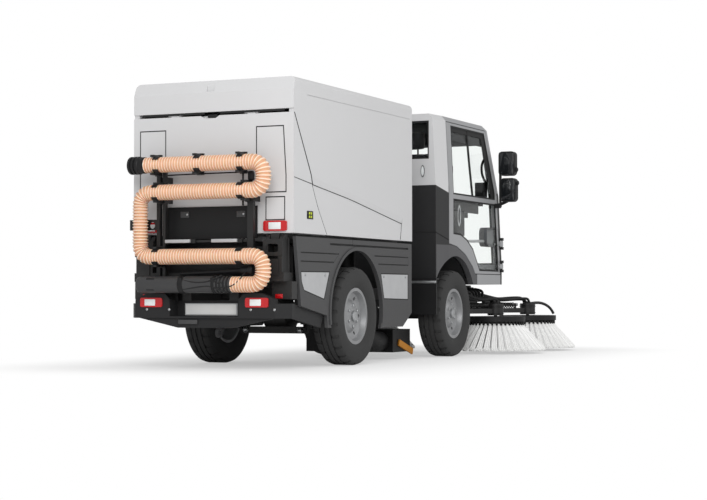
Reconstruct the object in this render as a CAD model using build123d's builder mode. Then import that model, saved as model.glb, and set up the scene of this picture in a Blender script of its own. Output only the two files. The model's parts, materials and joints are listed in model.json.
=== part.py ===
from build123d import *
import os
from math import atan2, degrees, hypot

os.makedirs("parts", exist_ok=True)

# Datum: X0 puts the hopper's rear face in a frame whose origin is on the ground at mid length
X0 = -2540.0
TOP = Plane(origin=(X0, 0, 0))
SIDE = Plane(origin=(X0, 0, 0), x_dir=(1, 0, 0), z_dir=(0, -1, 0))
BACK = Plane(origin=(X0, 0, 0), x_dir=(0, 1, 0), z_dir=(1, 0, 0))
SIDES = {"left": 1, "right": -1}

# Clearances
RUN = 0.3
GAP = 8.0

# Wheels
TYRE_R = 355.0
TYRE_W = 215.0
RIM_R = 205.0
HALF_TRACK = 527.0
REAR_AXLE_X = 1036.0
FRONT_AXLE_X = 2983.0
KINGPIN_Y = HALF_TRACK - 57.0
KINGPIN_R = 22.0
BARREL_R = 42.0
STUB_R = 25.0
STUB_END = 50.0
FLANGE_R = 90.0
AXLE_R = 55.0
FORK_Z = (80.0, 110.0)
ROD_X = 924.0
ROD_Z = TYRE_R - 103.0
ROD_HALF = 225.0
BALL_R = 26.0

# Chassis
RAIL_Y = 185.0
RAIL_W = 70.0
RAIL_Z0 = 470.0
RAIL_Z1 = 600.0
RAIL_X0 = -20.0
RAIL_X1 = 3900.0

# Hopper
BODY_HALF = 628.0
HOP_X1 = 2050.0
HOP_Z0 = 925.0
HOP_Z1 = 1988.0
WALL = 40.0
ROOF_R = 38.0
CAP_Z0 = 1768.0
CAP_X1 = 76.0
DOOR_TOP = 1746.0
SEAM = [(10, 1742), (268, 1333), (290, 1262), (378, 1114), (523, 927)]
FLOOR_HALF = BODY_HALF - WALL - 13.0
FLOOR_X0 = 50.0
TIP_X = 0.0
TIP_Z = 880.0
TIP_R = 20.0
SUB_Y = 503.0
SUB_W = 60.0
SUB_Z0 = 850.0
EAR_R = 36.0
EAR_T = 28.0
EAR_BACK = -60.0
CREASE = [(288, 1268), (925, 1194), (1860, 1054), (1822, 900), (288, 900)]
SHOULDER = 45.0
INSET = 6.0

# Rear door
GATE_X = 20.0
GATE_Z = 1755.0
GATE_PIN_R = 7.0
GATE_KNUCKLE_R = 11.0
GATE_HINGE_Y = 300.0
TAIL_LAMP_Y = BODY_HALF - 136.0
DOOR_OUTLINES = [
    [(579, 1655), (366, 1655), (366, 1200), (579, 1200)],
    [(-341, 1655), (-554, 1655), (-574, 1317), (-574, 1200), (-341, 1200)],
    [(-414, 1175), (-564, 1175), (-564, 1012), (-414, 1012)],
]

# Hose and its rack
HOSE_R = 54.0
HOSE_X = -170.0
HOSE_BEND = 92.0
RUN_1, RUN_2, RUN_3, RUN_4 = 1400.0, 1210.0, 769.0, 579.0
HOSE_LEFT = 468.0
HOSE_RIGHT = -488.0
HOSE_END = -258.0
CUFF_R = 62.0
CUFF_Y0, CUFF_Y1 = 426.0, 543.0
CUFF_BORE_R = 50.0
WAND_R = 58.0
WAND_Y1 = 455.0
COUPLING_Y1 = -118.0
POST_X0, POST_X1 = -100.0, -70.0
POST_Z0 = 572.0
POSTS = [(366.0, 28.0, 1450.0, 1300.0), (321.0, 22.0, 1450.0, 1300.0), (-351.0, 46.0, 1260.0, 1230.0)]
CLIPS = [(360.0, RUN_1), (28.0, RUN_1), (-304.0, RUN_1), (336.0, RUN_2), (-344.0, RUN_2), (336.0, RUN_3)]

# Skirts
SKIRT_OUT = BODY_HALF - 6.0
SKIRT_T = 24.0
SKIRT_TOP = 905.0
ARCH_R = 447.0
ARCH_Z = 383.0
LIP = 23.0
SLOT_Z = 865.0
GROOVES = [(798, 120, 726), (738, 120, 642), (798, 1345, 1985), (738, 1415, 1985)]
PLATES = [
    [(120, 671), (580, 674), (487, 474), (170, 536), (130, 596)],
    [(1460, 671), (1985, 672), (1985, 469), (1520, 476)],
]

# Suction
MOUTH_X0, MOUTH_X1 = 2150.0, 2500.0
MOUTH_Y0, MOUTH_Y1 = -420.0, 340.0
MOUTH_Z0, MOUTH_Z1 = 55.0, 235.0
DUCT_R, DUCT_T = 80.0, 8.0
DUCT_Y = -305.0
DUCT_X = 1500.0
DUCT_Z = 140.0

# Cab
CAB_X0 = 2600.0
CAB_WALL = 48.0
CAB_SPLIT = 1400.0
SPLIT_DROP = 52.0
CAB_BACK_X = 2820.0
CAB_CORNER = 25.0
CAB_ARCH_R = TYRE_R + 110.0
CAB_ARCH_Z = 365.0
CAB_BOW = 110.0
CAB_SECTIONS = [
    (600, 4095, 630), (752, 4100, 630), (1378, 4015, 630), (1940, 3795, 602), (1982, 3760, 568),
]
HUMP_X1 = 3490.0
HUMP_Z1 = 885.0
WELL_Y = 195.0
DOOR_Z0 = 690.0
DOOR_PANEL = [
    (2835, 1932), (3745, 1932), (3968, 1378), (4055, 740), (4055, DOOR_Z0),
    (3437, DOOR_Z0), (3374, 751), (3203, 850), (3007, 912), (2835, 932),
]
DOOR_GAP = 6.0
WINDOW_UPPER = [(2927, 1912), (3722, 1912), (3925, 1400), (3925, 1340), (2927, 1340)]
WINDOW_LOWER = [
    (2927, 1305), (3935, 1305), (4005, 800), (4008, 712), (3535, 712), (3491, 765), (3375, 890), (3232, 965),
    (3091, 1005), (2927, 1010),
]
FENDER_Z = 918.0
HINGE_X = 4062.0
HINGE_Y = 645.0
HINGE_R = 11.0
HINGE_PIN_R = 6.0
HINGE_ZS = (760.0, 960.0)
SEAT_Y = 290.0

# Brushes
DISC_R = 262.0
DISC_Z0 = 275.0
DISC_Z1 = 320.0
TUFT_TIP_R = 440.0
TUFTS = 22
TUFT_ROOT_R = 215.0
TUFT_TIP_Z = 25.0
ARM_Z0, ARM_Z1 = 345.0, 388.0
CARRIER_Z0 = 400.0
PIVOT_R = 18.0
MOTOR_R = 70.0
MOTOR_Z1 = 430.0
SHAFT_R = 15.0
BRUSHES = [
    ("left", 3960.0, 620.0, 3520.0, 420.0),
    ("right", 3960.0, -620.0, 3520.0, -420.0),
    ("front", 4868.0, -605.0, 4230.0, -250.0),
]


def keep(builder, name):
    builder.part.label = name
    export_step(builder.part, "parts/" + name + ".step")


# Tyres and rims, one of each per corner
TYRE_SIDE = [
    (84, RIM_R + RUN), (103, TYRE_R - 115), (TYRE_W / 2, TYRE_R - 70), (102, TYRE_R - 27), (88, TYRE_R - 7), (64, TYRE_R),
]
WHEELS = [
    ("front_left", FRONT_AXLE_X, 1),
    ("front_right", FRONT_AXLE_X, -1),
    ("rear_left", REAR_AXLE_X, 1),
    ("rear_right", REAR_AXLE_X, -1),
]
for corner, axle_x, side in WHEELS:
    section = Plane(origin=(X0 + axle_x, side * HALF_TRACK, TYRE_R), x_dir=(0, side, 0), z_dir=(side, 0, 0))
    face = Plane(origin=(X0 + axle_x, side * HALF_TRACK, TYRE_R), x_dir=(1, 0, 0), z_dir=(0, side, 0))
    spin = Axis((X0 + axle_x, 0, TYRE_R), (0, 1, 0))
    with BuildPart() as tyre:
        with BuildSketch(section):
            with BuildLine():
                Polyline(
                    *[(-w, r) for w, r in TYRE_SIDE], *[(w, r) for w, r in reversed(TYRE_SIDE)], close=True,
                )
            make_face()
        revolve(axis=spin)
    keep(tyre, "tyre_" + corner)
    with BuildPart() as rim:
        with BuildSketch(section):
            with BuildLine():
                Polyline(
                    (-84, RIM_R), (84, RIM_R), (84, 182), (46, 172), (30, 122), (58, 88), (66, 34),
                    (66, 0), (STUB_END + 6, 0), (STUB_END + 6, STUB_R + RUN), (2, STUB_R + RUN),
                    (2, 78), (12, 122), (12, 164), (-84, 186), close=True,
                )
            make_face()
        revolve(axis=spin)
        with BuildSketch(face):
            with PolarLocations(144, 6):
                Circle(13)
        extrude(amount=TYRE_W / 2, both=True, mode=Mode.SUBTRACT)
    keep(rim, "rim_" + corner)

# Rear axle: beam, differential housing, spring seats and the stubs the wheels run on
with BuildPart(TOP) as rear_axle:
    with BuildSketch(Plane(origin=(X0 + REAR_AXLE_X, 0, TYRE_R), x_dir=(0, 1, 0), z_dir=(1, 0, 0))):
        with BuildLine():
            Polyline(
                (0, 0), (0, 120), (90, 110), (130, AXLE_R), (HALF_TRACK - 34, AXLE_R), (HALF_TRACK - 34, FLANGE_R),
                (HALF_TRACK - 6, FLANGE_R), (HALF_TRACK - 6, STUB_R), (HALF_TRACK + STUB_END, STUB_R),
                (HALF_TRACK + STUB_END, 0), close=True,
            )
        make_face()
        mirror(about=Plane.YZ)
    revolve(axis=Axis((X0 + REAR_AXLE_X, 0, TYRE_R), (0, 1, 0)))
    with Locations((REAR_AXLE_X, RAIL_Y, (TYRE_R + RAIL_Z0) / 2), (REAR_AXLE_X, -RAIL_Y, (TYRE_R + RAIL_Z0) / 2)):
        Box(150, RAIL_W, RAIL_Z0 - TYRE_R)
    for side in SIDES.values():
        with BuildSketch(SIDE.offset(-side * (ROD_HALF + BALL_R + RUN + 12))):
            with BuildLine():
                Polyline(
                    (ROD_X - 30, ROD_Z + 18), (ROD_X, ROD_Z - 30), (1055, TYRE_R - 25),
                    (1015, TYRE_R + 25), close=True,
                )
            make_face()
        extrude(amount=12, both=True)
keep(rear_axle, "rear_axle")

# Flat track rod behind the rear axle with a ball at each end
with BuildPart(TOP) as track_rod:
    with Locations(Plane(origin=(ROD_X, 0, ROD_Z), z_dir=(0, 1, 0)).location):
        Box(50, 26, 2 * (ROD_HALF + BALL_R))
    with Locations((ROD_X - 12, ROD_HALF, ROD_Z), (ROD_X - 12, -ROD_HALF, ROD_Z)):
        Sphere(BALL_R - 4)
keep(track_rod, "track_rod")

# Front axle: beam with a fork and kingpin at each end
with BuildPart(TOP) as front_axle:
    with Locations((FRONT_AXLE_X, 0, TYRE_R)):
        Box(80, 2 * KINGPIN_Y - 160, 90)
    for side in SIDES.values():
        for up in (1, -1):
            with Locations((FRONT_AXLE_X, side * (KINGPIN_Y - 38), TYRE_R + up * sum(FORK_Z) / 2)):
                Box(64, 116, FORK_Z[1] - FORK_Z[0])
        with Locations((FRONT_AXLE_X, side * (KINGPIN_Y - 84), TYRE_R)):
            Box(64, 24, 2 * FORK_Z[1])
        with Locations((FRONT_AXLE_X, side * KINGPIN_Y, TYRE_R)):
            Cylinder(KINGPIN_R, 2 * FORK_Z[1])
        with Locations((FRONT_AXLE_X, side * RAIL_Y, (TYRE_R + RAIL_Z0) / 2)):
            Box(150, RAIL_W, RAIL_Z0 - TYRE_R)
keep(front_axle, "front_axle")

# Steering knuckles: barrel on the kingpin, flange and stub
for name, side in SIDES.items():
    with BuildPart(TOP) as knuckle:
        with Locations((FRONT_AXLE_X, side * KINGPIN_Y, TYRE_R)):
            Cylinder(BARREL_R, 2 * (FORK_Z[0] - GAP))
        with Locations(Plane(origin=(FRONT_AXLE_X, side * (HALF_TRACK - 14), TYRE_R), z_dir=(0, 1, 0)).location):
            Cylinder(68, 16)
        with Locations(Plane(origin=(FRONT_AXLE_X, side * (HALF_TRACK + 10), TYRE_R), z_dir=(0, 1, 0)).location):
            Cylinder(STUB_R, 2 * STUB_END - 20)
        with Locations((FRONT_AXLE_X, side * KINGPIN_Y, TYRE_R)):
            Cylinder(KINGPIN_R + RUN, 4 * FORK_Z[1], mode=Mode.SUBTRACT)
    keep(knuckle, "knuckle_" + name)

# Chassis frame: rails, cross-members, skirt outriggers and the uprights with the tipping pins
ear_offset = SUB_W / 2 + GAP + EAR_T / 2
with BuildPart(TOP) as chassis_frame:
    rail_z = (RAIL_Z0 + RAIL_Z1) / 2
    for side in SIDES.values():
        with Locations(((RAIL_X0 + RAIL_X1) / 2, side * RAIL_Y, rail_z)):
            Box(RAIL_X1 - RAIL_X0, RAIL_W, RAIL_Z1 - RAIL_Z0)
    with Locations((450, 0, rail_z), (1450, 0, rail_z), (2420, 0, rail_z), (3860, 0, rail_z)):
        Box(80, 2 * RAIL_Y, 90)
    with Locations((250, 0, 580), (1700, 0, 580)):
        Box(60, 2 * (SKIRT_OUT - SKIRT_T), 40)
    with Locations((10, 0, 630)):
        Box(140, 2 * (SUB_Y + 80), 60)
    for side in SIDES.values():
        for y in (SUB_Y - ear_offset, SUB_Y + ear_offset):
            with BuildSketch(SIDE.offset(-side * y)):
                with Locations(((EAR_BACK + EAR_R) / 2, (660 + TIP_Z) / 2)):
                    Rectangle(EAR_R - EAR_BACK, TIP_Z - 660)
                with Locations((TIP_X, TIP_Z)):
                    Circle(EAR_R)
            extrude(amount=EAR_T / 2, both=True)
        with Locations(Plane(origin=(TIP_X, side * SUB_Y, TIP_Z), z_dir=(0, 1, 0)).location):
            Cylinder(TIP_R, 2 * ear_offset)
        with BuildSketch(BACK.offset(EAR_BACK)):
            with Locations((side * SUB_Y, 828)):
                Rectangle(147, 114)
            with Locations((side * SUB_Y, 824)):
                SlotOverall(97, 57, mode=Mode.SUBTRACT)
            with Locations((side * SUB_Y, 695)):
                Rectangle(90, 110)
        extrude(amount=-6)
        with Locations((60, side * (SUB_Y + 50), 776)):
            Cylinder(15, 234)
        with Locations((40, side * 540, 540)):
            Box(80, 150, 120)
keep(chassis_frame, "chassis_frame")

# Battery block on the rails below the hopper
with BuildPart(TOP) as battery_block:
    with Locations((380, 0, RAIL_Z1 + 120)):
        Box(520, 1120, 240)
keep(battery_block, "battery_block")

# Hopper: hollow body with a slanted rear opening and a fixed roof cap above the door
with BuildPart() as hopper_body:
    with BuildSketch(SIDE):
        with BuildLine():
            Polyline(
                (36, HOP_Z1), (HOP_X1, HOP_Z1), (HOP_X1, HOP_Z0), *reversed(SEAM),
                (SEAM[0][0], CAP_Z0), (0, CAP_Z0), (0, 1900), close=True,
            )
        make_face()
    extrude(amount=BODY_HALF, both=True)
    fillet(hopper_body.edges().filter_by(Axis.X).group_by(Axis.Z)[-1], ROOF_R)
    with BuildSketch(SIDE):
        with BuildLine():
            Polyline(
                (-WALL, CAP_Z0), (WALL, CAP_Z0), (CAP_X1, HOP_Z1 - WALL), (HOP_X1 - WALL, HOP_Z1 - WALL),
                (HOP_X1 - WALL, HOP_Z0 + WALL), (-WALL, HOP_Z0 + WALL), close=True,
            )
        make_face()
    extrude(amount=BODY_HALF - WALL, both=True, mode=Mode.SUBTRACT)
    with BuildSketch(TOP.offset(HOP_Z0)):
        with Locations(((FLOOR_X0 + 600) / 2, 0)):
            Rectangle(600 - FLOOR_X0, 2 * FLOOR_HALF)
    extrude(amount=WALL)
    with Locations((X0 + DUCT_X, DUCT_Y, HOP_Z0)):
        Cylinder(DUCT_R - DUCT_T, 4 * WALL, mode=Mode.SUBTRACT)
    with Locations((X0, 17, 1955)):
        Box(50, 60, 90, mode=Mode.SUBTRACT)
    for side in SIDES.values():
        for lift, depth in ((SHOULDER, 0), (0, INSET)):
            with BuildSketch(SIDE.offset(-side * (BODY_HALF - depth))):
                with BuildLine():
                    Polyline(*[(x, z + lift) for x, z in CREASE[:3]], *CREASE[3:], close=True)
                make_face()
        loft(ruled=True, mode=Mode.SUBTRACT)
        with Locations((X0 + 1100, side * BODY_HALF, 1875)):
            Box(1800, 8, 6, mode=Mode.SUBTRACT)
    for side in SIDES.values():
        for offset_y in (-1, 1):
            with Locations((X0 + GATE_X, side * GATE_HINGE_Y + offset_y * 44, GATE_Z + 8)):
                Box(2 * GATE_KNUCKLE_R, 16, 31)
        with Locations(Plane(origin=(X0 + GATE_X, side * GATE_HINGE_Y, GATE_Z), z_dir=(0, 1, 0)).location):
            Cylinder(GATE_PIN_R, 100)
cap_place = (X0 + CAP_X1 / 2 - 20, 0, 1870)
cap_space = (CAP_X1 + 40, 2 * (BODY_HALF - WALL), 260)
with BuildPart() as hopper_cap:
    add(hopper_body.part)
    with Locations(cap_place):
        Box(*cap_space, mode=Mode.INTERSECT)
keep(hopper_cap, "hopper_cap")
with BuildPart() as hopper_shell:
    add(hopper_body.part)
    with Locations(cap_place):
        Box(*cap_space, mode=Mode.SUBTRACT)
keep(hopper_shell, "hopper_shell")

# Hopper subframe: rails under the floor with the eyes of the tipping hinge
with BuildPart(TOP) as hopper_subframe:
    for side in SIDES.values():
        with Locations(((TIP_X - 30 + 1980) / 2, side * SUB_Y, (SUB_Z0 + HOP_Z0) / 2)):
            Box(1980 - TIP_X + 30, SUB_W, HOP_Z0 - SUB_Z0)
        with Locations(Plane(origin=(TIP_X, side * SUB_Y, TIP_Z), z_dir=(0, 1, 0)).location):
            Cylinder(TIP_R + RUN, 2 * SUB_W, mode=Mode.SUBTRACT)
    with Locations((1900, 0, 885)):
        Box(60, 2 * SUB_Y - SUB_W, 60)
keep(hopper_subframe, "hopper_subframe")

# Rear door: panel with side wings back to the slanted seam
wing = [(x - 1.2 * GAP, z) for x, z in SEAM[1:]]
with BuildPart() as rear_door:
    with BuildSketch(SIDE):
        with BuildLine():
            Polyline((0, DOOR_TOP - 4), (4, DOOR_TOP - 4), *wing, (0, HOP_Z0 + 2), close=True)
        make_face()
    extrude(amount=BODY_HALF, both=True)
    with BuildSketch(SIDE):
        with Locations((WALL + 500, 1400)):
            Rectangle(1000, 1200)
    extrude(amount=BODY_HALF - WALL, both=True, mode=Mode.SUBTRACT)
    with BuildSketch(BACK):
        with Locations((0, (HOP_Z0 + WALL + DOOR_TOP) / 2)):
            Rectangle(2 * (BODY_HALF - WALL - GAP), DOOR_TOP - HOP_Z0 - WALL - 8)
    extrude(amount=WALL)
    with BuildSketch(BACK):
        with Locations((0, (HOP_Z0 + 2 + DOOR_TOP - 8) / 2)):
            Rectangle(2 * (BODY_HALF - WALL), DOOR_TOP - HOP_Z0 - 10)
    extrude(amount=3)
    with BuildSketch(BACK):
        for outline in DOOR_OUTLINES:
            with BuildLine():
                Polyline(*outline, close=True)
            make_face()
        offset(amount=-8, kind=Kind.INTERSECTION, mode=Mode.SUBTRACT)
    extrude(amount=5, mode=Mode.SUBTRACT)
    with BuildSketch(BACK):
        with BuildLine():
            Polyline((99, DOOR_TOP), (54, DOOR_TOP - 22), (-28, DOOR_TOP - 22), (-64, DOOR_TOP), close=True)
        make_face()
    extrude(amount=30, mode=Mode.SUBTRACT)
    for side in SIDES.values():
        with Locations((X0 + GATE_X, side * GATE_HINGE_Y, GATE_Z - 12)):
            Box(2 * GATE_KNUCKLE_R, 60, 24)
        with Locations(Plane(origin=(X0 + GATE_X, side * GATE_HINGE_Y, GATE_Z), z_dir=(0, 1, 0)).location):
            Cylinder(GATE_KNUCKLE_R, 60)
            Cylinder(GATE_PIN_R + RUN, 80, mode=Mode.SUBTRACT)
keep(rear_door, "rear_door")

# Black panel low in the middle of the door
with BuildPart(TOP) as door_panel:
    with Locations((-4, 0, 1004)):
        Box(8, 710, 220)
keep(door_panel, "door_panel")

# Upper tail lamps on the door
with BuildPart() as tail_lamps:
    for side in SIDES.values():
        with BuildSketch(BACK):
            with Locations((side * TAIL_LAMP_Y, 975)):
                RectangleRounded(177, 70, 14)
        extrude(amount=-14)
keep(tail_lamps, "tail_lamps")

# Hose rack: posts on stand-offs with clips above and below the runs
with BuildPart(TOP) as hose_rack:
    post_mid = (POST_X0 + POST_X1) / 2
    for y, width, top, stay_z in POSTS:
        with Locations((post_mid, y, (POST_Z0 + top) / 2)):
            Box(POST_X1 - POST_X0, width, top - POST_Z0)
        with Locations((POST_X1 / 2, y, 1160), (POST_X1 / 2, y, stay_z)):
            Box(-POST_X1, width, 40)
    for y, z in CLIPS:
        with Locations((POST_X0 - 6, y, z)):
            Box(12, 52, 2 * HOSE_R + 40)
        for up in (1, -1):
            with Locations(((HOSE_X - 30 + POST_X0) / 2, y, z + up * (HOSE_R + 8))):
                Box(POST_X0 - HOSE_X + 30, 28, 14)
        if abs(y) < 200 or z == RUN_1 and y < 0:
            with Locations((POST_X0 / 2, y, z)):
                Box(-POST_X0, 28, 40)
    for y in (166.0, -195.0):
        with Locations((-92, y, 875)):
            Box(34, 196, 25)
    with Locations((-90, -4, 875)):
        Box(14, 640, 16)
    for y in (336.0, 135.0):
        with Locations(((HOSE_X + WAND_R + RUN + POST_X0) / 2, y, RUN_4)):
            Box(POST_X0 - HOSE_X - WAND_R - RUN, 60, 30)
    with Locations((-90, -4, RUN_4)):
        Box(20, 710, 24)
    with BuildSketch(BACK.offset(-112)):
        with Locations((470, 992)):
            Rectangle(238, 72)
        with Locations((410, 988)):
            Circle(24, mode=Mode.SUBTRACT)
    extrude(amount=16)
keep(hose_rack, "hose_rack")

# Suction hose along its clipped route
with BuildPart() as suction_hose:
    with BuildLine(BACK.offset(HOSE_X)) as route:
        FilletPolyline(
            (CUFF_Y0, RUN_1), (HOSE_RIGHT, RUN_1), (HOSE_RIGHT, RUN_2), (HOSE_LEFT, RUN_2),
            (HOSE_LEFT, RUN_3), (HOSE_RIGHT, RUN_3), (HOSE_RIGHT, RUN_4), (HOSE_END, RUN_4), radius=HOSE_BEND,
        )
    with BuildSketch(Plane(origin=route.line @ 0, z_dir=route.line % 0)):
        Circle(HOSE_R)
    sweep()
keep(suction_hose, "suction_hose")

# Black cuff on the hose's open end
with BuildPart() as hose_cuff:
    with BuildSketch(SIDE.offset(-CUFF_Y0)):
        with Locations((HOSE_X, RUN_1)):
            Circle(CUFF_R)
    extrude(amount=-(CUFF_Y1 - CUFF_Y0))
    with BuildSketch(SIDE.offset(-CUFF_Y1)):
        with Locations((HOSE_X, RUN_1)):
            Circle(CUFF_BORE_R)
    extrude(amount=CUFF_Y1 - CUFF_Y0 - 8, mode=Mode.SUBTRACT)
keep(hose_cuff, "hose_cuff")

# Wand and coupling at the hose's other end
with BuildPart() as hose_wand:
    with BuildSketch(SIDE.offset(-HOSE_END)):
        with Locations((HOSE_X, RUN_4)):
            Circle(HOSE_R + 3)
    extrude(amount=-(COUPLING_Y1 - HOSE_END))
    with BuildSketch(SIDE.offset(-COUPLING_Y1)):
        with Locations((HOSE_X, RUN_4)):
            Circle(WAND_R)
    extrude(amount=-(WAND_Y1 - COUPLING_Y1))
keep(hose_wand, "hose_wand")

# Skirts with the rear wheel arch
for name, side in SIDES.items():
    with BuildPart() as skirt:
        with BuildSketch(SIDE.offset(-side * SKIRT_OUT)):
            with BuildLine():
                Polyline(
                    (45, SKIRT_TOP), (2055, SKIRT_TOP), (2055, 370), (1880, 265), (1300, 265),
                    (600, 278), (545, 278), (531, 365), (126, 433), close=True,
                )
            make_face()
            with Locations((REAR_AXLE_X, ARCH_Z)):
                Circle(ARCH_R, mode=Mode.SUBTRACT)
        extrude(amount=side * SKIRT_T)
        with BuildSketch(SIDE.offset(-side * SKIRT_OUT)):
            with Locations((REAR_AXLE_X, ARCH_Z)):
                Circle(ARCH_R + LIP)
                Circle(ARCH_R, mode=Mode.SUBTRACT)
            with Locations((REAR_AXLE_X, -100)):
                Rectangle(3 * ARCH_R, 2 * 400, mode=Mode.SUBTRACT)
        extrude(amount=-side * 8)
        with BuildSketch(SIDE.offset(-side * SKIRT_OUT)):
            for z, x0, x1 in GROOVES:
                with Locations(((x0 + x1) / 2, z)):
                    Rectangle(x1 - x0, 9)
            for plate in PLATES:
                with BuildLine():
                    Polyline(*plate, close=True)
                make_face()
            with Locations((960, (SLOT_Z + SKIRT_TOP) / 2)):
                Rectangle(5, SKIRT_TOP - SLOT_Z)
        extrude(amount=side * 5, mode=Mode.SUBTRACT)
        with BuildSketch(SIDE.offset(-side * SKIRT_OUT)):
            with Locations(((580 + 1987) / 2, SLOT_Z)):
                Rectangle(1987 - 580, 14)
        extrude(amount=side * 14, mode=Mode.SUBTRACT)
    keep(skirt, "skirt_" + name)

# Light plates let into the skirts, and the number plate
with BuildPart() as plates:
    for side in SIDES.values():
        with BuildSketch(SIDE.offset(-side * (SKIRT_OUT - 5))):
            for plate in PLATES:
                with BuildLine():
                    Polyline(*plate, close=True)
                make_face()
            offset(amount=-7, kind=Kind.INTERSECTION, mode=Mode.REPLACE)
        extrude(amount=-side * 4)
    with Locations((X0 - 7, 0, 410)):
        Box(6, 410, 82)
keep(plates, "plates")

# Rear bumper: beam with swept ends, side wings, lamp housings, plate recess, lower lip and towing eye
BUMPER_IN, BUMPER_OUT = -62.0, -112.0
BUMPER_END = SKIRT_OUT - 77.0
with BuildPart(TOP) as rear_bumper:
    with BuildSketch(TOP.offset(350)):
        with BuildLine():
            Polyline(
                (30, SKIRT_OUT), (-10, SKIRT_OUT), (BUMPER_OUT, BUMPER_END), (BUMPER_OUT, -BUMPER_END), (-10, -SKIRT_OUT),
                (30, -SKIRT_OUT), (30, 32 - SKIRT_OUT), (5, 32 - SKIRT_OUT), (BUMPER_IN, 5 - BUMPER_END),
                (BUMPER_IN, BUMPER_END - 5), (5, SKIRT_OUT - 32), (30, SKIRT_OUT - 32), close=True,
            )
        make_face()
    extrude(amount=100)
    with BuildSketch(BACK.offset(BUMPER_OUT + 14)):
        with BuildLine():
            Polyline(
                (BUMPER_END - 5, 365), (BUMPER_END - 25, 350), (210, 284), (-210, 284), (25 - BUMPER_END, 350),
                (5 - BUMPER_END, 365), close=True,
            )
        make_face()
    extrude(amount=34)
    with BuildSketch(BACK.offset(BUMPER_OUT)):
        for side in SIDES.values():
            with BuildLine():
                Polyline(
                    (side * 270, 409), (side * BUMPER_END, 409), (side * (BUMPER_END - 3), 480), (side * 444, 521),
                    (side * 305, 516), (side * 270, 480), close=True,
                )
            make_face()
    extrude(amount=BUMPER_IN - BUMPER_OUT)
    with Locations(((BUMPER_IN + BUMPER_OUT) / 2, 0, 410)):
        Box(80, 536, 96, mode=Mode.SUBTRACT)
    for side in SIDES.values():
        with Locations((-28, side * 286, 410)):
            Box(68, 36, 120)
        with BuildSketch(SIDE.offset(-side * (SKIRT_OUT - SKIRT_T - 2))):
            with BuildLine():
                Polyline((-37, 364), (-10, 450), (137, 440), (531, 372), (482, 281), close=True)
            make_face()
        extrude(amount=side * 20)
    with Locations((1, 0, 410)):
        Box(10, 608, 120)
    with BuildSketch(SIDE.offset(118)):
        with Locations((-92, 268)):
            Rectangle(40, 32)
        with Locations((-110, 252)):
            Circle(32)
            Circle(15, mode=Mode.SUBTRACT)
        with Locations((-92, 314)):
            Rectangle(200, 60, mode=Mode.SUBTRACT)
    extrude(amount=12, both=True)
keep(rear_bumper, "rear_bumper")

with BuildPart() as bumper_lamps:
    for side in SIDES.values():
        with BuildSketch(BACK.offset(BUMPER_OUT)):
            with Locations((side * 411, 457)):
                RectangleRounded(174, 64, 12)
        extrude(amount=-10)
keep(bumper_lamps, "bumper_lamps")

# Suction mouth behind the front wheels, hung from the rails, and the pipe up to the hopper
mouth_x = (MOUTH_X0 + MOUTH_X1) / 2
mouth_y = (MOUTH_Y0 + MOUTH_Y1) / 2
with BuildPart(TOP) as suction_mouth:
    with Locations((mouth_x, mouth_y, (MOUTH_Z0 + MOUTH_Z1) / 2)):
        Box(MOUTH_X1 - MOUTH_X0, MOUTH_Y1 - MOUTH_Y0, MOUTH_Z1 - MOUTH_Z0)
    with Locations((mouth_x, mouth_y, (MOUTH_Z0 + MOUTH_Z1) / 2 - 15)):
        Box(MOUTH_X1 - MOUTH_X0 - 30, MOUTH_Y1 - MOUTH_Y0 - 30, MOUTH_Z1 - MOUTH_Z0, mode=Mode.SUBTRACT)
    with Locations(Plane(origin=(MOUTH_X0, DUCT_Y, DUCT_Z), z_dir=(1, 0, 0)).location):
        Cylinder(DUCT_R - DUCT_T, 100, mode=Mode.SUBTRACT)
    with Locations(*[(mouth_x, side * RAIL_Y, (MOUTH_Z1 + RAIL_Z0) / 2) for side in SIDES.values()]):
        Box(50, 40, RAIL_Z0 - MOUTH_Z1)
keep(suction_mouth, "suction_mouth")

with BuildPart() as suction_duct:
    with BuildLine(SIDE.offset(-DUCT_Y)) as duct_path:
        FilletPolyline(
            (MOUTH_X0, DUCT_Z), (MOUTH_X0 - 100, DUCT_Z), (DUCT_X, 290), (DUCT_X, HOP_Z0 - GAP), radius=120,
        )
    with BuildSketch(Plane(origin=duct_path.line @ 0, z_dir=duct_path.line % 0)):
        Circle(DUCT_R)
        Circle(DUCT_R - DUCT_T, mode=Mode.SUBTRACT)
    sweep()
keep(suction_duct, "suction_duct")


# Cab: ruled bodies through level sections with a bowed front
def cab_level(z):
    for (z0, x0, h0), (z1, x1, h1) in zip(CAB_SECTIONS, CAB_SECTIONS[1:]):
        if z0 <= z <= z1:
            t = (z - z0) / (z1 - z0)
            return x0 + t * (x1 - x0), h0 + t * (h1 - h0)


def cab_body(inset, z0, z1):
    levels = [z0] + [z for z, x, h in CAB_SECTIONS if z0 < z < z1] + [z1]
    with BuildPart() as body:
        for z in levels:
            x, half = cab_level(z)
            with BuildSketch(TOP.offset(z)):
                with BuildLine():
                    Polyline(
                        (x - inset, half - inset), (CAB_BACK_X, half - inset),
                        (CAB_X0 + inset, half - CAB_CORNER - inset), (CAB_X0 + inset, inset + CAB_CORNER - half),
                        (CAB_BACK_X, inset - half), (x - inset, inset - half),
                    )
                    ThreePointArc((x - inset, inset - half), (x - inset + CAB_BOW, 0), (x - inset, half - inset))
                make_face()
        loft(ruled=True)
    return body.part


cab_outside = cab_body(0, 600, 1982)
cab_inside = cab_body(CAB_WALL, 648, 1934)
door_inside = cab_body(CAB_WALL - 3, 600, 1982)
glass_outside = cab_body(10, 600, 1982)
glass_inside = cab_body(16, 600, 1982)
lamp_inside = cab_body(14, 600, 1982)
WINDSCREEN = (790.0, 1905.0, 545.0)
REAR_WINDOW = (1614.0, 1925.0, 545.0)
HEADLAMP = (470.0, 150.0, 700.0, 80.0)

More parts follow.
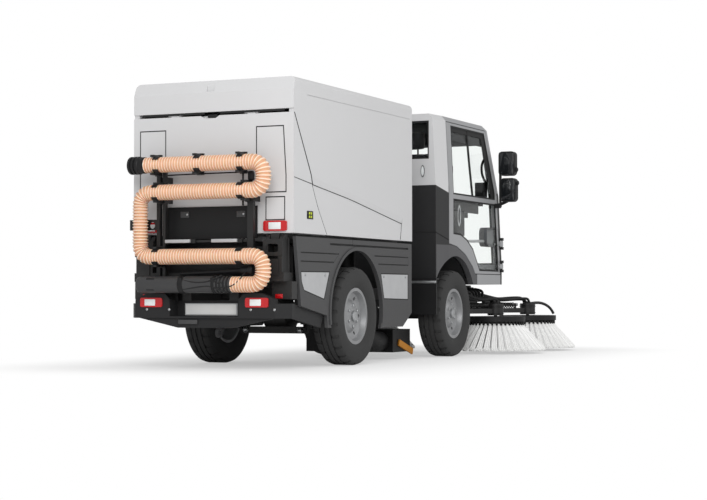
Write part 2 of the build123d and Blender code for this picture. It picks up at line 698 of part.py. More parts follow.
with BuildPart() as cab_shell:
    add(cab_outside)
    add(cab_inside, mode=Mode.SUBTRACT)
    with Locations((X0 + (CAB_X0 + HUMP_X1) / 2 + 20, 0, (640 + HUMP_Z1) / 2)):
        Box(HUMP_X1 - CAB_X0 - 40, 1130, HUMP_Z1 - 640)
    for side in SIDES.values():
        with BuildSketch(SIDE.offset(-side * WELL_Y)):
            with Locations((FRONT_AXLE_X, CAB_ARCH_Z)):
                Circle(CAB_ARCH_R)
        extrude(amount=-side * 600, mode=Mode.SUBTRACT)
        with BuildSketch(SIDE.offset(-side * 560)):
            with BuildLine():
                Polyline(*DOOR_PANEL, close=True)
            make_face()
            offset(amount=DOOR_GAP, kind=Kind.INTERSECTION)
        extrude(amount=-side * 120, mode=Mode.SUBTRACT)
    with Locations((X0 + 3950, 0, (WINDSCREEN[0] + WINDSCREEN[1]) / 2)):
        Box(700, 2 * WINDSCREEN[2], WINDSCREEN[1] - WINDSCREEN[0], mode=Mode.SUBTRACT)
    with Locations((X0 + CAB_X0, 0, (REAR_WINDOW[0] + REAR_WINDOW[1]) / 2)):
        Box(200, 2 * REAR_WINDOW[2], REAR_WINDOW[1] - REAR_WINDOW[0], mode=Mode.SUBTRACT)
    for side in SIDES.values():
        for z in HINGE_ZS:
            for up in (1, -1):
                with Locations((X0 + HINGE_X, side * HINGE_Y, z + up * 40)):
                    Cylinder(HINGE_R, 24)
                with Locations((X0 + HINGE_X + 8, side * (HINGE_Y - 4), z + up * 40)):
                    Box(16, 30, 24)
            with Locations((X0 + HINGE_X, side * HINGE_Y, z)):
                Cylinder(HINGE_PIN_R, 80)

with BuildPart() as headlamps:
    add(cab_outside)
    add(lamp_inside, mode=Mode.SUBTRACT)
    with Locations(*[(X0 + 4100, side * HEADLAMP[0], HEADLAMP[2]) for side in SIDES.values()]):
        Box(300, HEADLAMP[1], HEADLAMP[3], mode=Mode.INTERSECT)
keep(headlamps, "headlamps")

with BuildPart() as sills:
    add(cab_shell.part)
    with Locations(*[(X0 + 3770, side * 615, (600 + DOOR_Z0 - DOOR_GAP) / 2) for side in SIDES.values()]):
        Box(580, 70, DOOR_Z0 - DOOR_GAP - 600, mode=Mode.INTERSECT)
keep(sills, "sills")

# Fenders over the front wheels, below the seam in the cab's sides
with BuildPart() as fenders:
    add(cab_shell.part)
    with Locations(*[(X0 + 3040, side * 615, (600 + FENDER_Z) / 2) for side in SIDES.values()]):
        Box(860, 62, FENDER_Z - 600, mode=Mode.INTERSECT)
keep(fenders, "fenders")

slant = Plane(origin=(X0 + CAB_X0, 0, CAB_SPLIT), x_dir=(0, 1, 0), z_dir=(SPLIT_DROP, 0, CAB_BACK_X - CAB_X0))
with BuildPart() as cab_back:
    add(cab_shell.part)
    split(bisect_by=BACK.offset(CAB_BACK_X), keep=Keep.BOTTOM)
    split(bisect_by=slant, keep=Keep.TOP)
keep(cab_back, "cab_back")

with BuildPart() as cab_frame:
    add(cab_shell.part)
    split(bisect_by=Plane.XY.offset(CAB_SPLIT), keep=Keep.TOP)
    split(bisect_by=BACK.offset(CAB_BACK_X), keep=Keep.TOP)
keep(cab_frame, "cab_frame")

with BuildPart() as cab_tub:
    add(cab_shell.part)
    for panel in (fenders, headlamps, sills, cab_back, cab_frame):
        add(panel.part, mode=Mode.SUBTRACT)
keep(cab_tub, "cab_tub")

with BuildPart() as windscreen:
    add(glass_outside)
    add(glass_inside, mode=Mode.SUBTRACT)
    with Locations((X0 + 3950, 0, (WINDSCREEN[0] + WINDSCREEN[1]) / 2)):
        Box(700, 2 * WINDSCREEN[2] - 2 * RUN, WINDSCREEN[1] - WINDSCREEN[0] - 2 * RUN, mode=Mode.INTERSECT)
keep(windscreen, "windscreen")

with BuildPart() as rear_window:
    with Locations((X0 + CAB_X0 + 20, 0, (REAR_WINDOW[0] + REAR_WINDOW[1]) / 2)):
        Box(6, 2 * REAR_WINDOW[2] - 2 * RUN, REAR_WINDOW[1] - REAR_WINDOW[0] - 2 * RUN)
keep(rear_window, "rear_window")

# Cab doors with their glass
for name, side in SIDES.items():
    skin = SIDE.offset(-side * 560)
    with BuildPart() as cab_door:
        with BuildSketch(skin):
            with BuildLine():
                Polyline(*DOOR_PANEL, close=True)
            make_face()
            for window in (WINDOW_UPPER, WINDOW_LOWER):
                with BuildLine():
                    Polyline(*window, close=True)
                make_face(mode=Mode.SUBTRACT)
        extrude(amount=-side * 120)
        add(cab_outside, mode=Mode.INTERSECT)
        add(door_inside, mode=Mode.SUBTRACT)
        for z in HINGE_ZS:
            with Locations((X0 + HINGE_X - 31, side * HINGE_Y, z)):
                Box(62, 14, 40)
            with Locations((X0 + HINGE_X - 54, side * (HINGE_Y - 8), z)):
                Box(16, 16, 40)
            with Locations((X0 + HINGE_X, side * HINGE_Y, z)):
                Cylinder(HINGE_R, 40)
                Cylinder(HINGE_PIN_R + RUN, 60, mode=Mode.SUBTRACT)
    keep(cab_door, "door_" + name)
    with BuildPart() as door_glass:
        with BuildSketch(skin):
            for window in (WINDOW_UPPER, WINDOW_LOWER):
                with BuildLine():
                    Polyline(*window, close=True)
                make_face()
            offset(amount=-RUN, kind=Kind.INTERSECTION)
        extrude(amount=-side * 120)
        add(glass_outside, mode=Mode.INTERSECT)
        add(glass_inside, mode=Mode.SUBTRACT)
    keep(door_glass, "door_glass_" + name)
    with BuildPart(TOP) as mirrors:
        with BuildSketch(BACK.offset(3920)):
            with Locations((side * 740, 1660)):
                RectangleRounded(150, 212, 34)
            with Locations((side * 752, 1428)):
                RectangleRounded(142, 208, 34)
        extrude(amount=70)
        with Locations((3950, side * 672, 1520)):
            Cylinder(12, 480)
        with Locations((3945, side * 652, 1290)):
            Box(40, 44, 40)
    keep(mirrors, "mirrors_" + name)

# Mudguards behind the front wheels and flaps behind the rear ones
with BuildPart(TOP) as mudguards:
    for side in SIDES.values():
        with Locations((568, side * (SKIRT_OUT - SKIRT_T - 100), (300 + RAIL_Z1) / 2)):
            Box(16, 196, RAIL_Z1 - 300)
        with Locations((2550, side * 430, 495)):
            Box(20, 406, 290)
        with Locations((2570, side * 430, 638)):
            Box(60, 406, 12)
keep(mudguards, "mudguards")

# Cab interior
with BuildPart(TOP) as seats:
    for side in SIDES.values():
        with Locations((3080, side * SEAT_Y, HUMP_Z1 + 60)):
            Box(420, 360, 120)
        with Locations((3100, side * SEAT_Y, HUMP_Z1 + 170)):
            Box(480, 440, 100)
        with BuildSketch(SIDE.offset(-side * SEAT_Y)):
            with BuildLine():
                Polyline((2870, 1055), (2980, 1055), (2895, 1680), (2805, 1680), close=True)
            make_face()
        extrude(amount=215, both=True)
        with Locations((2840, side * SEAT_Y, 1790)):
            Box(80, 250, 150)
        with Locations((2840, side * SEAT_Y + 60, 1695), (2840, side * SEAT_Y - 60, 1695)):
            Cylinder(8, 60)
keep(seats, "seats")

COLUMN_R = 28.0
COLUMN_L = 260.0
wheel_plane = Plane(origin=(X0 + 3610, SEAT_Y, 1190), x_dir=(0, 1, 0), z_dir=(-0.6, 0, 0.8))
with BuildPart() as steering_wheel:
    with Locations(wheel_plane.location):
        Torus(180, 15)
        Cylinder(40, 40)
        Box(360, 30, 16)
    with Locations(wheel_plane.offset(-COLUMN_L / 2).location):
        Cylinder(COLUMN_R, COLUMN_L)
keep(steering_wheel, "steering_wheel")

with BuildPart(TOP) as dashboard:
    with Locations((3900, 90, 1250)):
        Box(120, 900, 120)
    with Locations((3905, 0, 920)):
        Box(110, 260, 544)
    with Locations((3785, SEAT_Y, 840)):
        Box(80, 110, 384)
    with Locations((3845, 200, 700)):
        Box(90, 260, 60)
    with Locations((3880, -515, 1430)):
        Box(30, 105, 130)
    with Locations((3890, -515, 1345)):
        Box(20, 20, 90)
    with Locations((3890, -440, 1300)):
        Box(20, 170, 24)
    with BuildSketch(wheel_plane.offset(-COLUMN_L - RUN)):
        Circle(COLUMN_R + RUN)
    extrude(amount=COLUMN_L, mode=Mode.SUBTRACT)
keep(dashboard, "dashboard")

# Brush carrier under the cab with the pivots of the brush arms
front_x, front_y = BRUSHES[2][3], BRUSHES[2][4]
with BuildPart(TOP) as brush_carrier:
    with Locations((3520, 0, (CARRIER_Z0 + RAIL_Z0) / 2)):
        Box(90, 940, RAIL_Z0 - CARRIER_Z0)
    with Locations(((3475 + front_x + 50) / 2, 0, (CARRIER_Z0 + RAIL_Z0) / 2)):
        Box(front_x + 50 - 3475, 120, RAIL_Z0 - CARRIER_Z0)
    with Locations((front_x, front_y / 2, (CARRIER_Z0 + RAIL_Z0) / 2)):
        Box(100, -front_y + 100, RAIL_Z0 - CARRIER_Z0)
    with Locations(*[(px, py, (ARM_Z0 + CARRIER_Z0) / 2 - 5) for n, bx, by, px, py in BRUSHES]):
        Cylinder(PIVOT_R, CARRIER_Z0 - ARM_Z0 + 10)
keep(brush_carrier, "brush_carrier")

# Brush arms with motors, then the discs and bristles they drive
for name, brush_x, brush_y, pivot_x, pivot_y in BRUSHES:
    reach = hypot(brush_x - pivot_x, brush_y - pivot_y)
    aim = degrees(atan2(brush_y - pivot_y, brush_x - pivot_x))
    arm_mid = (ARM_Z0 + ARM_Z1) / 2
    with BuildPart(TOP) as brush_arm:
        with Locations((pivot_x, pivot_y, arm_mid)):
            Cylinder(40, ARM_Z1 - ARM_Z0)
        with Locations(Location(((pivot_x + brush_x) / 2, (pivot_y + brush_y) / 2, arm_mid), (0, 0, aim))):
            Box(reach, 60, ARM_Z1 - ARM_Z0)
        with Locations((brush_x, brush_y, (DISC_Z1 + 8 + MOTOR_Z1) / 2)):
            Cylinder(MOTOR_R, MOTOR_Z1 - DISC_Z1 - 8)
        with Locations((brush_x, brush_y, DISC_Z1 - 5)):
            Cylinder(SHAFT_R, 30)
        with Locations((pivot_x, pivot_y, arm_mid)):
            Cylinder(PIVOT_R + RUN, 200, mode=Mode.SUBTRACT)
    keep(brush_arm, "brush_arm_" + name)
    with BuildPart(TOP) as disc:
        with Locations((brush_x, brush_y, (DISC_Z0 + DISC_Z1) / 2)):
            Cylinder(DISC_R, DISC_Z1 - DISC_Z0)
        with Locations((brush_x, brush_y, DISC_Z1 - 15)):
            Cylinder(SHAFT_R + RUN, 30, mode=Mode.SUBTRACT)
    keep(disc, "brush_disc_" + name)
    drop = DISC_Z0 - TUFT_TIP_Z
    slope = hypot(TUFT_TIP_R - TUFT_ROOT_R, drop)
    with BuildPart() as tuft:
        root = Plane(
            origin=(X0 + brush_x + TUFT_ROOT_R, brush_y, DISC_Z0), x_dir=(0, 1, 0),
            z_dir=(drop, 0, TUFT_TIP_R - TUFT_ROOT_R),
        )
        with BuildSketch(root):
            with BuildLine():
                Polyline((-20, 30), (20, 30), (50, -slope), (-50, -slope), close=True)
            make_face()
        extrude(amount=6, both=True)
        split(bisect_by=Plane.XY.offset(DISC_Z0), keep=Keep.BOTTOM)
    with BuildPart() as bristles:
        with Locations((X0 + brush_x, brush_y, DISC_Z0 - 9)):
            Cylinder(TUFT_ROOT_R + 20, 18)
            Cylinder(TUFT_ROOT_R - 20, 18, mode=Mode.SUBTRACT)
        for turn in range(TUFTS):
            add(tuft.part.rotate(Axis((X0 + brush_x, brush_y, 0), (0, 0, 1)), 360 * turn / TUFTS))
    keep(bristles, "bristles_" + name)
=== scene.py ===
import json
from math import atan2, cos, exp, hypot, pi, radians, sin

import bmesh
import bpy
from mathutils import Matrix, Vector


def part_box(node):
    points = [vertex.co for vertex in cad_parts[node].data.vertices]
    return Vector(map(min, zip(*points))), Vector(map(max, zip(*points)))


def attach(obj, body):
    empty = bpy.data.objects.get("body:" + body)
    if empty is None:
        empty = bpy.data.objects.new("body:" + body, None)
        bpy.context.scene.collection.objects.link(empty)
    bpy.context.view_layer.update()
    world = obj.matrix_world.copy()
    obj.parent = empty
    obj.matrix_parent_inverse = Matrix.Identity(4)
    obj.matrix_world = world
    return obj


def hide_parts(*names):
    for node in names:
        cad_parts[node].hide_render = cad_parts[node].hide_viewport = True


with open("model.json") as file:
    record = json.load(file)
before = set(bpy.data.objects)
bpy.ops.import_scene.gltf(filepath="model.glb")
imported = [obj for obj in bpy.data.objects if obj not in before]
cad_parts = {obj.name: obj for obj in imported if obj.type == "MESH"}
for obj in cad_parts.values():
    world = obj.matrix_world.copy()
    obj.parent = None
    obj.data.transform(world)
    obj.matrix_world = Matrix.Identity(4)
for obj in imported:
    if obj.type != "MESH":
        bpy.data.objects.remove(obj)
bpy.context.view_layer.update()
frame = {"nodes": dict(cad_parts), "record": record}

bl_info = {
    "name": "Compact street sweeper dressing",
    "version": (1, 1, 0),
    "blender": (4, 5, 0),
    "location": "3D View > Sidebar > Sweeper",
    "description": "Finishes, trim and soft pieces for the compact street sweeper",
    "category": "Object",
}

CORNERS = ("front_left", "front_right", "rear_left", "rear_right")
SIDES = {"left": 1, "right": -1}
MIRROR = Matrix.Scale(-1, 4, (0, 1, 0))
# Brush: its middle and its arm's pivot, in millimetres from the hopper's rear face and the middle
BRUSHES = {
    "left": (3960, 620, 3520, 420),
    "right": (3960, -620, 3520, -420),
    "front": (4868, -605, 4230, -250),
}
REAR_FACE = -2540.0
# Middle of the hose and the wand behind the hopper's rear face
HOSE_X = -170
# Face of the skirts' grooves from the middle
GROOVE_Y = 620
# The cab's sides lean in above the waist: its height, and how far they lean over which height
WAIST_Z, LEAN, LEAN_HEIGHT = 1378, 28, 562


def linear(code):
    """sRGB hex to linear RGBA."""
    parts = [int(code[i:i + 2], 16) / 255 for i in (0, 2, 4)]
    return tuple(c / 12.92 if c <= 0.04045 else ((c + 0.055) / 1.055) ** 2.4 for c in parts) + (1.0,)


def dim(colour, share):
    return tuple(c * share for c in colour[:3]) + (1.0,)


def at(x, y, z):
    """Millimetres from the hopper's rear face, the middle and the ground, to metres in the frame."""
    return Vector(((x + REAR_FACE) / 1000, y / 1000, z / 1000))


def run(points, side=1):
    """Points in millimetres for the left side, as points of the frame on this side."""
    return [at(x, side * y, z) for x, y, z in points]


def lean(z):
    """How far the cab's side stands in at a height, in millimetres."""
    return max(z - WAIST_Z, 0) * LEAN / LEAN_HEIGHT


def tint(name, about, code):
    return bpy.props.FloatVectorProperty(
        name=name, description=about, subtype="COLOR", size=4, default=linear(code), min=0, max=1)


def measure(name, about, metres):
    return bpy.props.FloatProperty(name=name, description=about, unit="LENGTH", default=metres)


class SweeperLook(bpy.types.PropertyGroup):
    body: tint("Body paint", "Colour of the hopper, its door and the cab's back", "D0D0D1")
    skirt: tint("Skirt plastic", "Colour of the skirts", "424243")
    cab: tint("Cab paint", "Colour of the door frames, pillars and sills", "A9AAAC")
    hose: tint("Hose", "Colour of the suction hose between its ribs", "DFAA85")
    bristle: tint("Bristles", "Colour of the brushes' bristles", "FFFFFE")
    rib_pitch: measure("Hose rib pitch", "Distance between two ribs of the hose", 0.021)
    rib_depth: measure("Hose rib depth", "Height of a rib above the hose wall", 0.0075)
    tread_depth: measure("Tread depth", "Depth of the grooves in the tyres", 0.008)
    bolt: measure("Bolt head", "Radius of the bolt heads on the panels", 0.009)


def look():
    return bpy.context.scene.sweeper_look


# Shaping

def clear():
    """Leave edit mode and drop every selection."""
    if bpy.context.mode != "OBJECT":
        leave()
    bpy.ops.object.select_all(action="DESELECT")


def only(ob):
    """Select one object and make it the active one."""
    clear()
    ob.select_set(True)
    bpy.context.view_layer.objects.active = ob
    return ob


def settle(ob):
    """Put the object's place, turn and size into its mesh."""
    only(ob)
    bpy.ops.object.transform_apply(location=True, rotation=True, scale=True)
    return ob


def edit():
    """Enter edit mode on the active object with all of it selected."""
    bpy.ops.object.mode_set(mode="EDIT")
    bpy.ops.mesh.select_all(action="SELECT")


def leave():
    bpy.ops.object.mode_set(mode="OBJECT")


def outward():
    """In edit mode, turn every normal out."""
    bpy.ops.mesh.select_all(action="SELECT")
    bpy.ops.mesh.normals_make_consistent(inside=False)


def pick_rims():
    """In edit mode, select the open edges."""
    bpy.ops.mesh.select_mode(type="EDGE")
    bpy.ops.mesh.select_all(action="DESELECT")
    bpy.ops.mesh.select_non_manifold()


def pick(ob, test):
    """In edit mode, select the faces whose centre and normal pass the test."""
    bpy.ops.mesh.select_mode(type="FACE")
    bpy.ops.mesh.select_all(action="DESELECT")
    form = bmesh.from_edit_mesh(ob.data)
    for face in form.faces:
        face.select_set(bool(test(face.calc_center_median(), face.normal)))
    bmesh.update_edit_mesh(ob.data)


def block(size, place, edge, segments=2, turn=(0, 0, 0)):
    """A box at its size and place with rounded edges."""
    clear()
    bpy.ops.mesh.primitive_cube_add(size=1.0, location=place, rotation=turn)
    ob = bpy.context.object
    ob.scale = size
    settle(ob)
    edit()
    bpy.ops.mesh.bevel(offset=edge, segments=segments, affect="EDGES")
    leave()
    return ob


def pair(size, spot, edge):
    """The same block on the left and on the right, its spot in millimetres."""
    x, y, z = spot
    return [block(size, at(x, side * y, z), edge) for side in SIDES.values()]


def lathe(rings, steps, place, axis, capped=True):
    """A turned form: each ring is a radius and a height along the axis, extruded from the last one."""
    clear()
    bpy.ops.mesh.primitive_circle_add(
        vertices=steps, radius=rings[0][0], fill_type="NGON" if capped else "NOTHING",
        location=(0, 0, rings[0][1]))
    ob = settle(bpy.context.object)
    bpy.ops.object.mode_set(mode="EDIT")
    bpy.ops.mesh.select_mode(type="VERT")
    bpy.ops.mesh.select_all(action="SELECT")
    for (r0, h0), (r1, h1) in zip(rings, rings[1:]):
        bpy.ops.mesh.extrude_region_move(TRANSFORM_OT_translate={"value": (0, 0, h1 - h0)})
        bpy.ops.transform.resize(value=(r1 / r0, r1 / r0, 1))
    outward()
    leave()
    ob.rotation_euler = Vector(axis).to_track_quat("Z", "Y").to_euler()
    ob.location = place
    return settle(ob)


def path(points, order=3):
    """A smooth NURBS line with these control points."""
    clear()
    bpy.ops.curve.primitive_nurbs_path_add()
    ob = bpy.context.object
    ob.data.splines.clear()
    line = ob.data.splines.new("NURBS")
    line.points.add(len(points) - 1)
    for spot, point in zip(line.points, points):
        spot.co = (*point, 1.0)
    line.order_u = order
    line.use_endpoint_u = True
    return ob


def tube(points, radius, order=3):
    """A round bar along a smooth line, or along a straight-edged one with order 2."""
    ob = path(points, order)
    ob.data.bevel_depth = radius
    ob.data.bevel_resolution = 2
    ob.data.use_fill_caps = True
    ob.data.resolution_u = 6
    bpy.ops.object.convert(target="MESH")
    return settle(bpy.context.object)


def sheet(points, thick, width=None):
    """A flat plate with this outline and thickness, or only a frame of a width just inside the outline."""
    clear()
    bpy.ops.mesh.primitive_circle_add(vertices=len(points), radius=1, fill_type="NGON")
    ob = bpy.context.object
    for corner, point in zip(ob.data.vertices, points):
        corner.co = point
    edit()
    if width:
        bpy.ops.mesh.inset(thickness=width, depth=0)
        bpy.ops.mesh.delete(type="FACE")
    outward()
    leave()
    return thicken(ob, thick)


def thicken(ob, thick):
    """Give an open skin a wall to both sides of it."""
    only(ob)
    wall = ob.modifiers.new("wall", "SOLIDIFY")
    wall.thickness = thick
    wall.offset = 0
    bpy.ops.object.modifier_apply(modifier="wall")
    return ob


def weld(ob):
    """Merge the seam of a form whose last ring meets its first."""
    only(ob)
    edit()
    bpy.ops.mesh.remove_doubles(threshold=0.0001)
    outward()
    leave()
    return ob


def copy_of(ob, matrix):
    """A copy with its own mesh, moved by a matrix."""
    twin = ob.copy()
    twin.data = ob.data.copy()
    twin.data.transform(matrix)
    bpy.context.scene.collection.objects.link(twin)
    if matrix.determinant() < 0:
        only(twin)
        edit()
        bpy.ops.mesh.flip_normals()
        leave()
    return twin


def join(pieces):
    """Make one object of several."""
    clear()
    for piece in pieces:
        piece.select_set(True)
    bpy.context.view_layer.objects.active = pieces[0]
    if len(pieces) > 1:
        bpy.ops.object.join()
    return bpy.context.object


def done(ob, name, material, body, angle=35):
    """Name, shade and dress a finished piece, or a list of pieces as one, and set it on its body."""
    ob = only(join(ob) if isinstance(ob, list) else ob)
    bpy.ops.object.shade_smooth_by_angle(angle=radians(angle))
    ob.name = name
    ob.data.name = name
    if not ob.data.materials:
        ob.data.materials.append(bpy.data.materials[material])
    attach(ob, body)
    return ob


# Finishes

def add(tree, kind, values=(), links=(), **settings):
    """One node with its settings, socket values and links."""
    node = tree.nodes.new(kind)
    for key, value in settings.items():
        setattr(node, key, value)
    for key, value in dict(values).items():
        node.inputs[key].default_value = value
    for key, socket in dict(links).items():
        tree.links.new(socket, node.inputs[key])
    return node


def blank(name):
    """A new material: its nodes, its shader and the place on the object."""
    material = bpy.data.materials.new(name)
    material.use_nodes = True
    tree = material.node_tree
    shader = tree.nodes["Principled BSDF"]
    spot = add(tree, "ShaderNodeTexCoord").outputs["Object"]
    return tree, shader, spot


def noise(tree, spot, size_mm, detail):
    """Noise of a size, as a factor from 0 to 1."""
    settings = {"Scale": 1000 / size_mm, "Detail": detail}
    return add(tree, "ShaderNodeTexNoise", settings, {"Vector": spot}).outputs["Fac"]


def gloss(tree, shader, factor, low, high):
    """Roughness that follows a factor from low to high."""
    scale = add(tree, "ShaderNodeMapRange", {"To Min": low, "To Max": high}, {"Value": factor})
    tree.links.new(scale.outputs["Result"], shader.inputs["Roughness"])


def relief(tree, shader, height, strength, metres):
    bump = add(tree, "ShaderNodeBump", {"Strength": strength, "Distance": metres}, {"Height": height})
    tree.links.new(bump.outputs["Normal"], shader.inputs["Normal"])


def coat(name, base, second, patch_mm, grain_mm, rough, spread, bump_mm, **sockets):
    """A coated or moulded surface: slow patches of colour, and a fine grain in gloss and relief."""
    tree, shader, spot = blank(name)
    base, second = [linear(c) if isinstance(c, str) else c for c in (base, second)]
    patch = noise(tree, spot, patch_mm, 4.0)
    grain = noise(tree, spot, grain_mm, 3.0)
    mix = add(tree, "ShaderNodeMix", {6: base, 7: second}, {0: patch}, data_type="RGBA")
    tree.links.new(mix.outputs[2], shader.inputs["Base Color"])
    gloss(tree, shader, grain, rough - spread, rough + spread)
    relief(tree, shader, grain, 0.5, bump_mm / 1000)
    for key, value in sockets.items():
        shader.inputs[key.replace("_", " ")].default_value = value


def in_view(tree):
    """1 for what the camera sees, also through glass, and 0 for what only lights the scene."""
    seen = add(tree, "ShaderNodeLightPath").outputs
    rays = {0: seen["Is Camera Ray"], 1: seen["Is Transmission Ray"]}
    return add(tree, "ShaderNodeMath", {}, rays, operation="MAXIMUM").outputs[0]


class SWEEPER_OT_finishes(bpy.types.Operator):
    """Make every finish and give the frame's own nodes theirs"""
    bl_idname = "sweeper.finishes"
    bl_label = "Finishes"

    def execute(self, context):
        p = look()
        # Two-pack gloss enamel on sheet: clean highlights with a slow orange-peel waviness
        coat("white_enamel", p.body, dim(p.body, 0.965), 700, 9, 0.32, 0.04, 0.05, Coat_Weight=0.2)
        # Rotomoulded polyethylene: even dark grey with a fine pebble that scatters the light
        coat("moulded_grey_plastic", p.skirt, dim(p.skirt, 0.86), 420, 5, 0.52, 0.08, 0.35)
        # The same plastic through-dyed darker for the bumper, which takes knocks
        coat("moulded_dark_plastic", "262627", "202021", 380, 5, 0.55, 0.08, 0.35, Specular_IOR_Level=0.3)
        # Dark grey enamel low on the cab, painted almost black as the shade on its back: satin
        coat("cab_enamel_painted_shade", "2A2A2B", "262627", 460, 7, 0.42, 0.06, 0.08, Specular_IOR_Level=0.3)
        # The same dark grey enamel on the fenders, textured, painted lighter as the light that falls on
        # their sides
        coat("fender_enamel_painted_light", "505052", "48484A", 300, 4, 0.5, 0.08, 0.25)
        # Silver-grey enamel of the cab: satin, with a faint metallic sparkle
        coat("silver_cab_enamel", p.cab, dim(p.cab, 0.92), 500, 3, 0.36, 0.06, 0.05, Metallic=0.35)
        # Black chassis primer: satin with dust in the patches
        coat("black_chassis_paint", "19191A", "242322", 160, 6, 0.5, 0.1, 0.2)
        # Injection-moulded black ABS: fine leather grain, soft sheen
        coat("black_moulded_plastic", "141415", "1B1B1C", 240, 4, 0.5, 0.08, 0.3, Specular_IOR_Level=0.3)
        # Glass-filled nylon of the wand: charcoal with a dry sheen
        coat("charcoal_nylon", "3A3A3B", "323233", 200, 4, 0.46, 0.08, 0.2)
        # Extruded seal rubber: deep black, dull
        coat("black_seal_rubber", "0F0F10", "171717", 90, 3, 0.7, 0.06, 0.15)
        # Tyre rubber: near black, dull, with a little road dust
        coat("tyre_rubber", "0D0D0E", "161616", 120, 7, 0.8, 0.08, 0.5, Specular_IOR_Level=0.15)
        # Silver wheel paint over steel: coarse flake and dull edges
        coat("silver_wheel_paint", "A0A1A2", "8C8D8F", 90, 4, 0.42, 0.08, 0.15, Metallic=0.4)
        # Zinc-plated steel: bright grey spangle in patches
        coat("zinc_plated_steel", "BFC1C2", "A3A5A7", 14, 3, 0.34, 0.08, 0.08, Metallic=0.9)
        # Brushed aluminium plate: light grey, satin
        coat("anodised_aluminium", "C2C3C4", "B4B5B7", 60, 2, 0.4, 0.06, 0.04, Metallic=0.3)
        # Red acrylic lamp lens: saturated and glossy, with the faint flutes of its optics
        coat("red_acrylic", "C9151C", "B31118", 30, 8, 0.16, 0.05, 0.3, Coat_Weight=0.6)
        # Clear acrylic over a white reflector
        coat("white_acrylic", "EEF0F0", "DDE1E2", 22, 8, 0.14, 0.05, 0.3, Coat_Weight=0.5)
        # Reflective white sheeting on an aluminium plate, left blank
        coat("blank_plate_sheeting", "FBFBF9", "F2F2F0", 80, 4, 0.4, 0.05, 0.05)
        # Polyurethane hose wall: peach, waxy, a little light comes through
        coat("peach_polyurethane", p.hose, dim(p.hose, 0.9), 60, 6, 0.42, 0.06, 0.15,
             Subsurface_Weight=0.15, Subsurface_Scale=0.006)
        # The rib's crest over its wire, painted paler as the highlight the light leaves on it
        coat("rib_crest_painted_highlight", "FBE3CE", "F3D5BC", 60, 6, 0.36, 0.06, 0.1,
             Subsurface_Weight=0.15, Subsurface_Scale=0.006)
        # Polypropylene bristle: white, waxy, each strand a little different
        coat("bristle_polypropylene", p.bristle, dim(p.bristle, 0.9), 18, 3, 0.5, 0.08, 0.1)
        # Powder-coated steel of the rack and the arms: deep black with a fine texture
        coat("black_powder_coat", "151515", "1D1D1D", 200, 2, 0.45, 0.06, 0.15)
        # Orange polyurethane flap: bright, scuffed
        coat("orange_flap_rubber", "D08A1E", "AE6F17", 40, 6, 0.6, 0.08, 0.3)
        # Lime reflective sheeting of the side marker
        coat("lime_reflective_sheeting", "C9D61E", "AEBB16", 20, 3, 0.35, 0.05, 0.05)
        # Mirror glass painted near black as the dark reflection it shows, with a sharp sheen
        coat("mirror_glass_painted_dark_reflection", "17191B", "1E2023", 120, 60, 0.06, 0.02, 0.01, Coat_Weight=0.4)
        # Vacuum-formed grey trim inside the doors: matt with a soft grain
        coat("grey_door_trim", "5F6062", "565759", 160, 4, 0.62, 0.06, 0.2)
        # Needle-felt roof lining: charcoal, no shine
        coat("charcoal_felt", "202123", "2A2B2D", 25, 4, 0.9, 0.05, 0.6, Specular_IOR_Level=0.1)
        # Laminated safety glass: clear, with a low index so that the cab behind stays readable
        tree, shader, spot = blank("laminated_glass")
        gloss(tree, shader, noise(tree, spot, 350, 2.0), 0.0, 0.04)
        shader.inputs["Base Color"].default_value = linear("FAFCFB")
        shader.inputs["Transmission Weight"].default_value = 1.0
        shader.inputs["IOR"].default_value = 1.1
        # Woven seat cloth: two crossed thread waves, drawn at 6 mm so that they show
        tree, shader, spot = blank("woven_seat_cloth")
        thread_mm = 6
        threads = {"Scale": 1000 / thread_mm / 6.28}
        warp, weft = [add(tree, "ShaderNodeTexWave", threads, {"Vector": spot}, bands_direction=way)
                      for way in ("Y", "DIAGONAL")]
        crossed = {0: warp.outputs["Fac"], 1: weft.outputs["Fac"]}
        weave = add(tree, "ShaderNodeMath", {}, crossed, operation="MULTIPLY").outputs[0]
        ramp = add(tree, "ShaderNodeValToRGB", {}, {"Fac": weave})
        ramp.color_ramp.elements[0].color = linear("1C1D1F")
        ramp.color_ramp.elements[1].color = linear("34363A")
        tree.links.new(ramp.outputs["Color"], shader.inputs["Base Color"])
        shader.inputs["Roughness"].default_value = 0.9
        shader.inputs["Sheen Weight"].default_value = 0.3
        relief(tree, shader, weave, 0.6, 0.001)
        by_slot = {
            "tyre_rubber": "tyre_rubber", "rim_paint": "silver_wheel_paint",
            "chassis_paint": "black_chassis_paint", "body_white": "white_enamel",
            "panel_black": "black_moulded_plastic", "skirt_grey": "moulded_grey_plastic",
            "cab_grey": "silver_cab_enamel", "glass": "laminated_glass", "lamp_red": "red_acrylic",
            "lamp_clear": "white_acrylic", "rack_steel": "black_powder_coat",
            "hose_polyurethane": "peach_polyurethane", "battery_case": "black_powder_coat",
            "seat_fabric": "woven_seat_cloth", "disc_plastic": "black_moulded_plastic",
            "bristle_plastic": "bristle_polypropylene",
        }
        # The cab's back and its fenders take a shaded and a lit copy of one dark grey enamel
        special = {
            "rear_bumper": "moulded_dark_plastic", "cab_tub": "cab_enamel_painted_shade",
            "fenders": "fender_enamel_painted_light", "hose_wand": "charcoal_nylon",
            "plates": "anodised_aluminium",
        }
        slots = {part["node"]: part["material_slot"] for part in frame["record"]["subparts"]}
        for name, ob in frame["nodes"].items():
            ob.data.materials.clear()
            ob.data.materials.append(bpy.data.materials[special.get(name) or by_slot[slots[name]]])
        return {"FINISHED"}


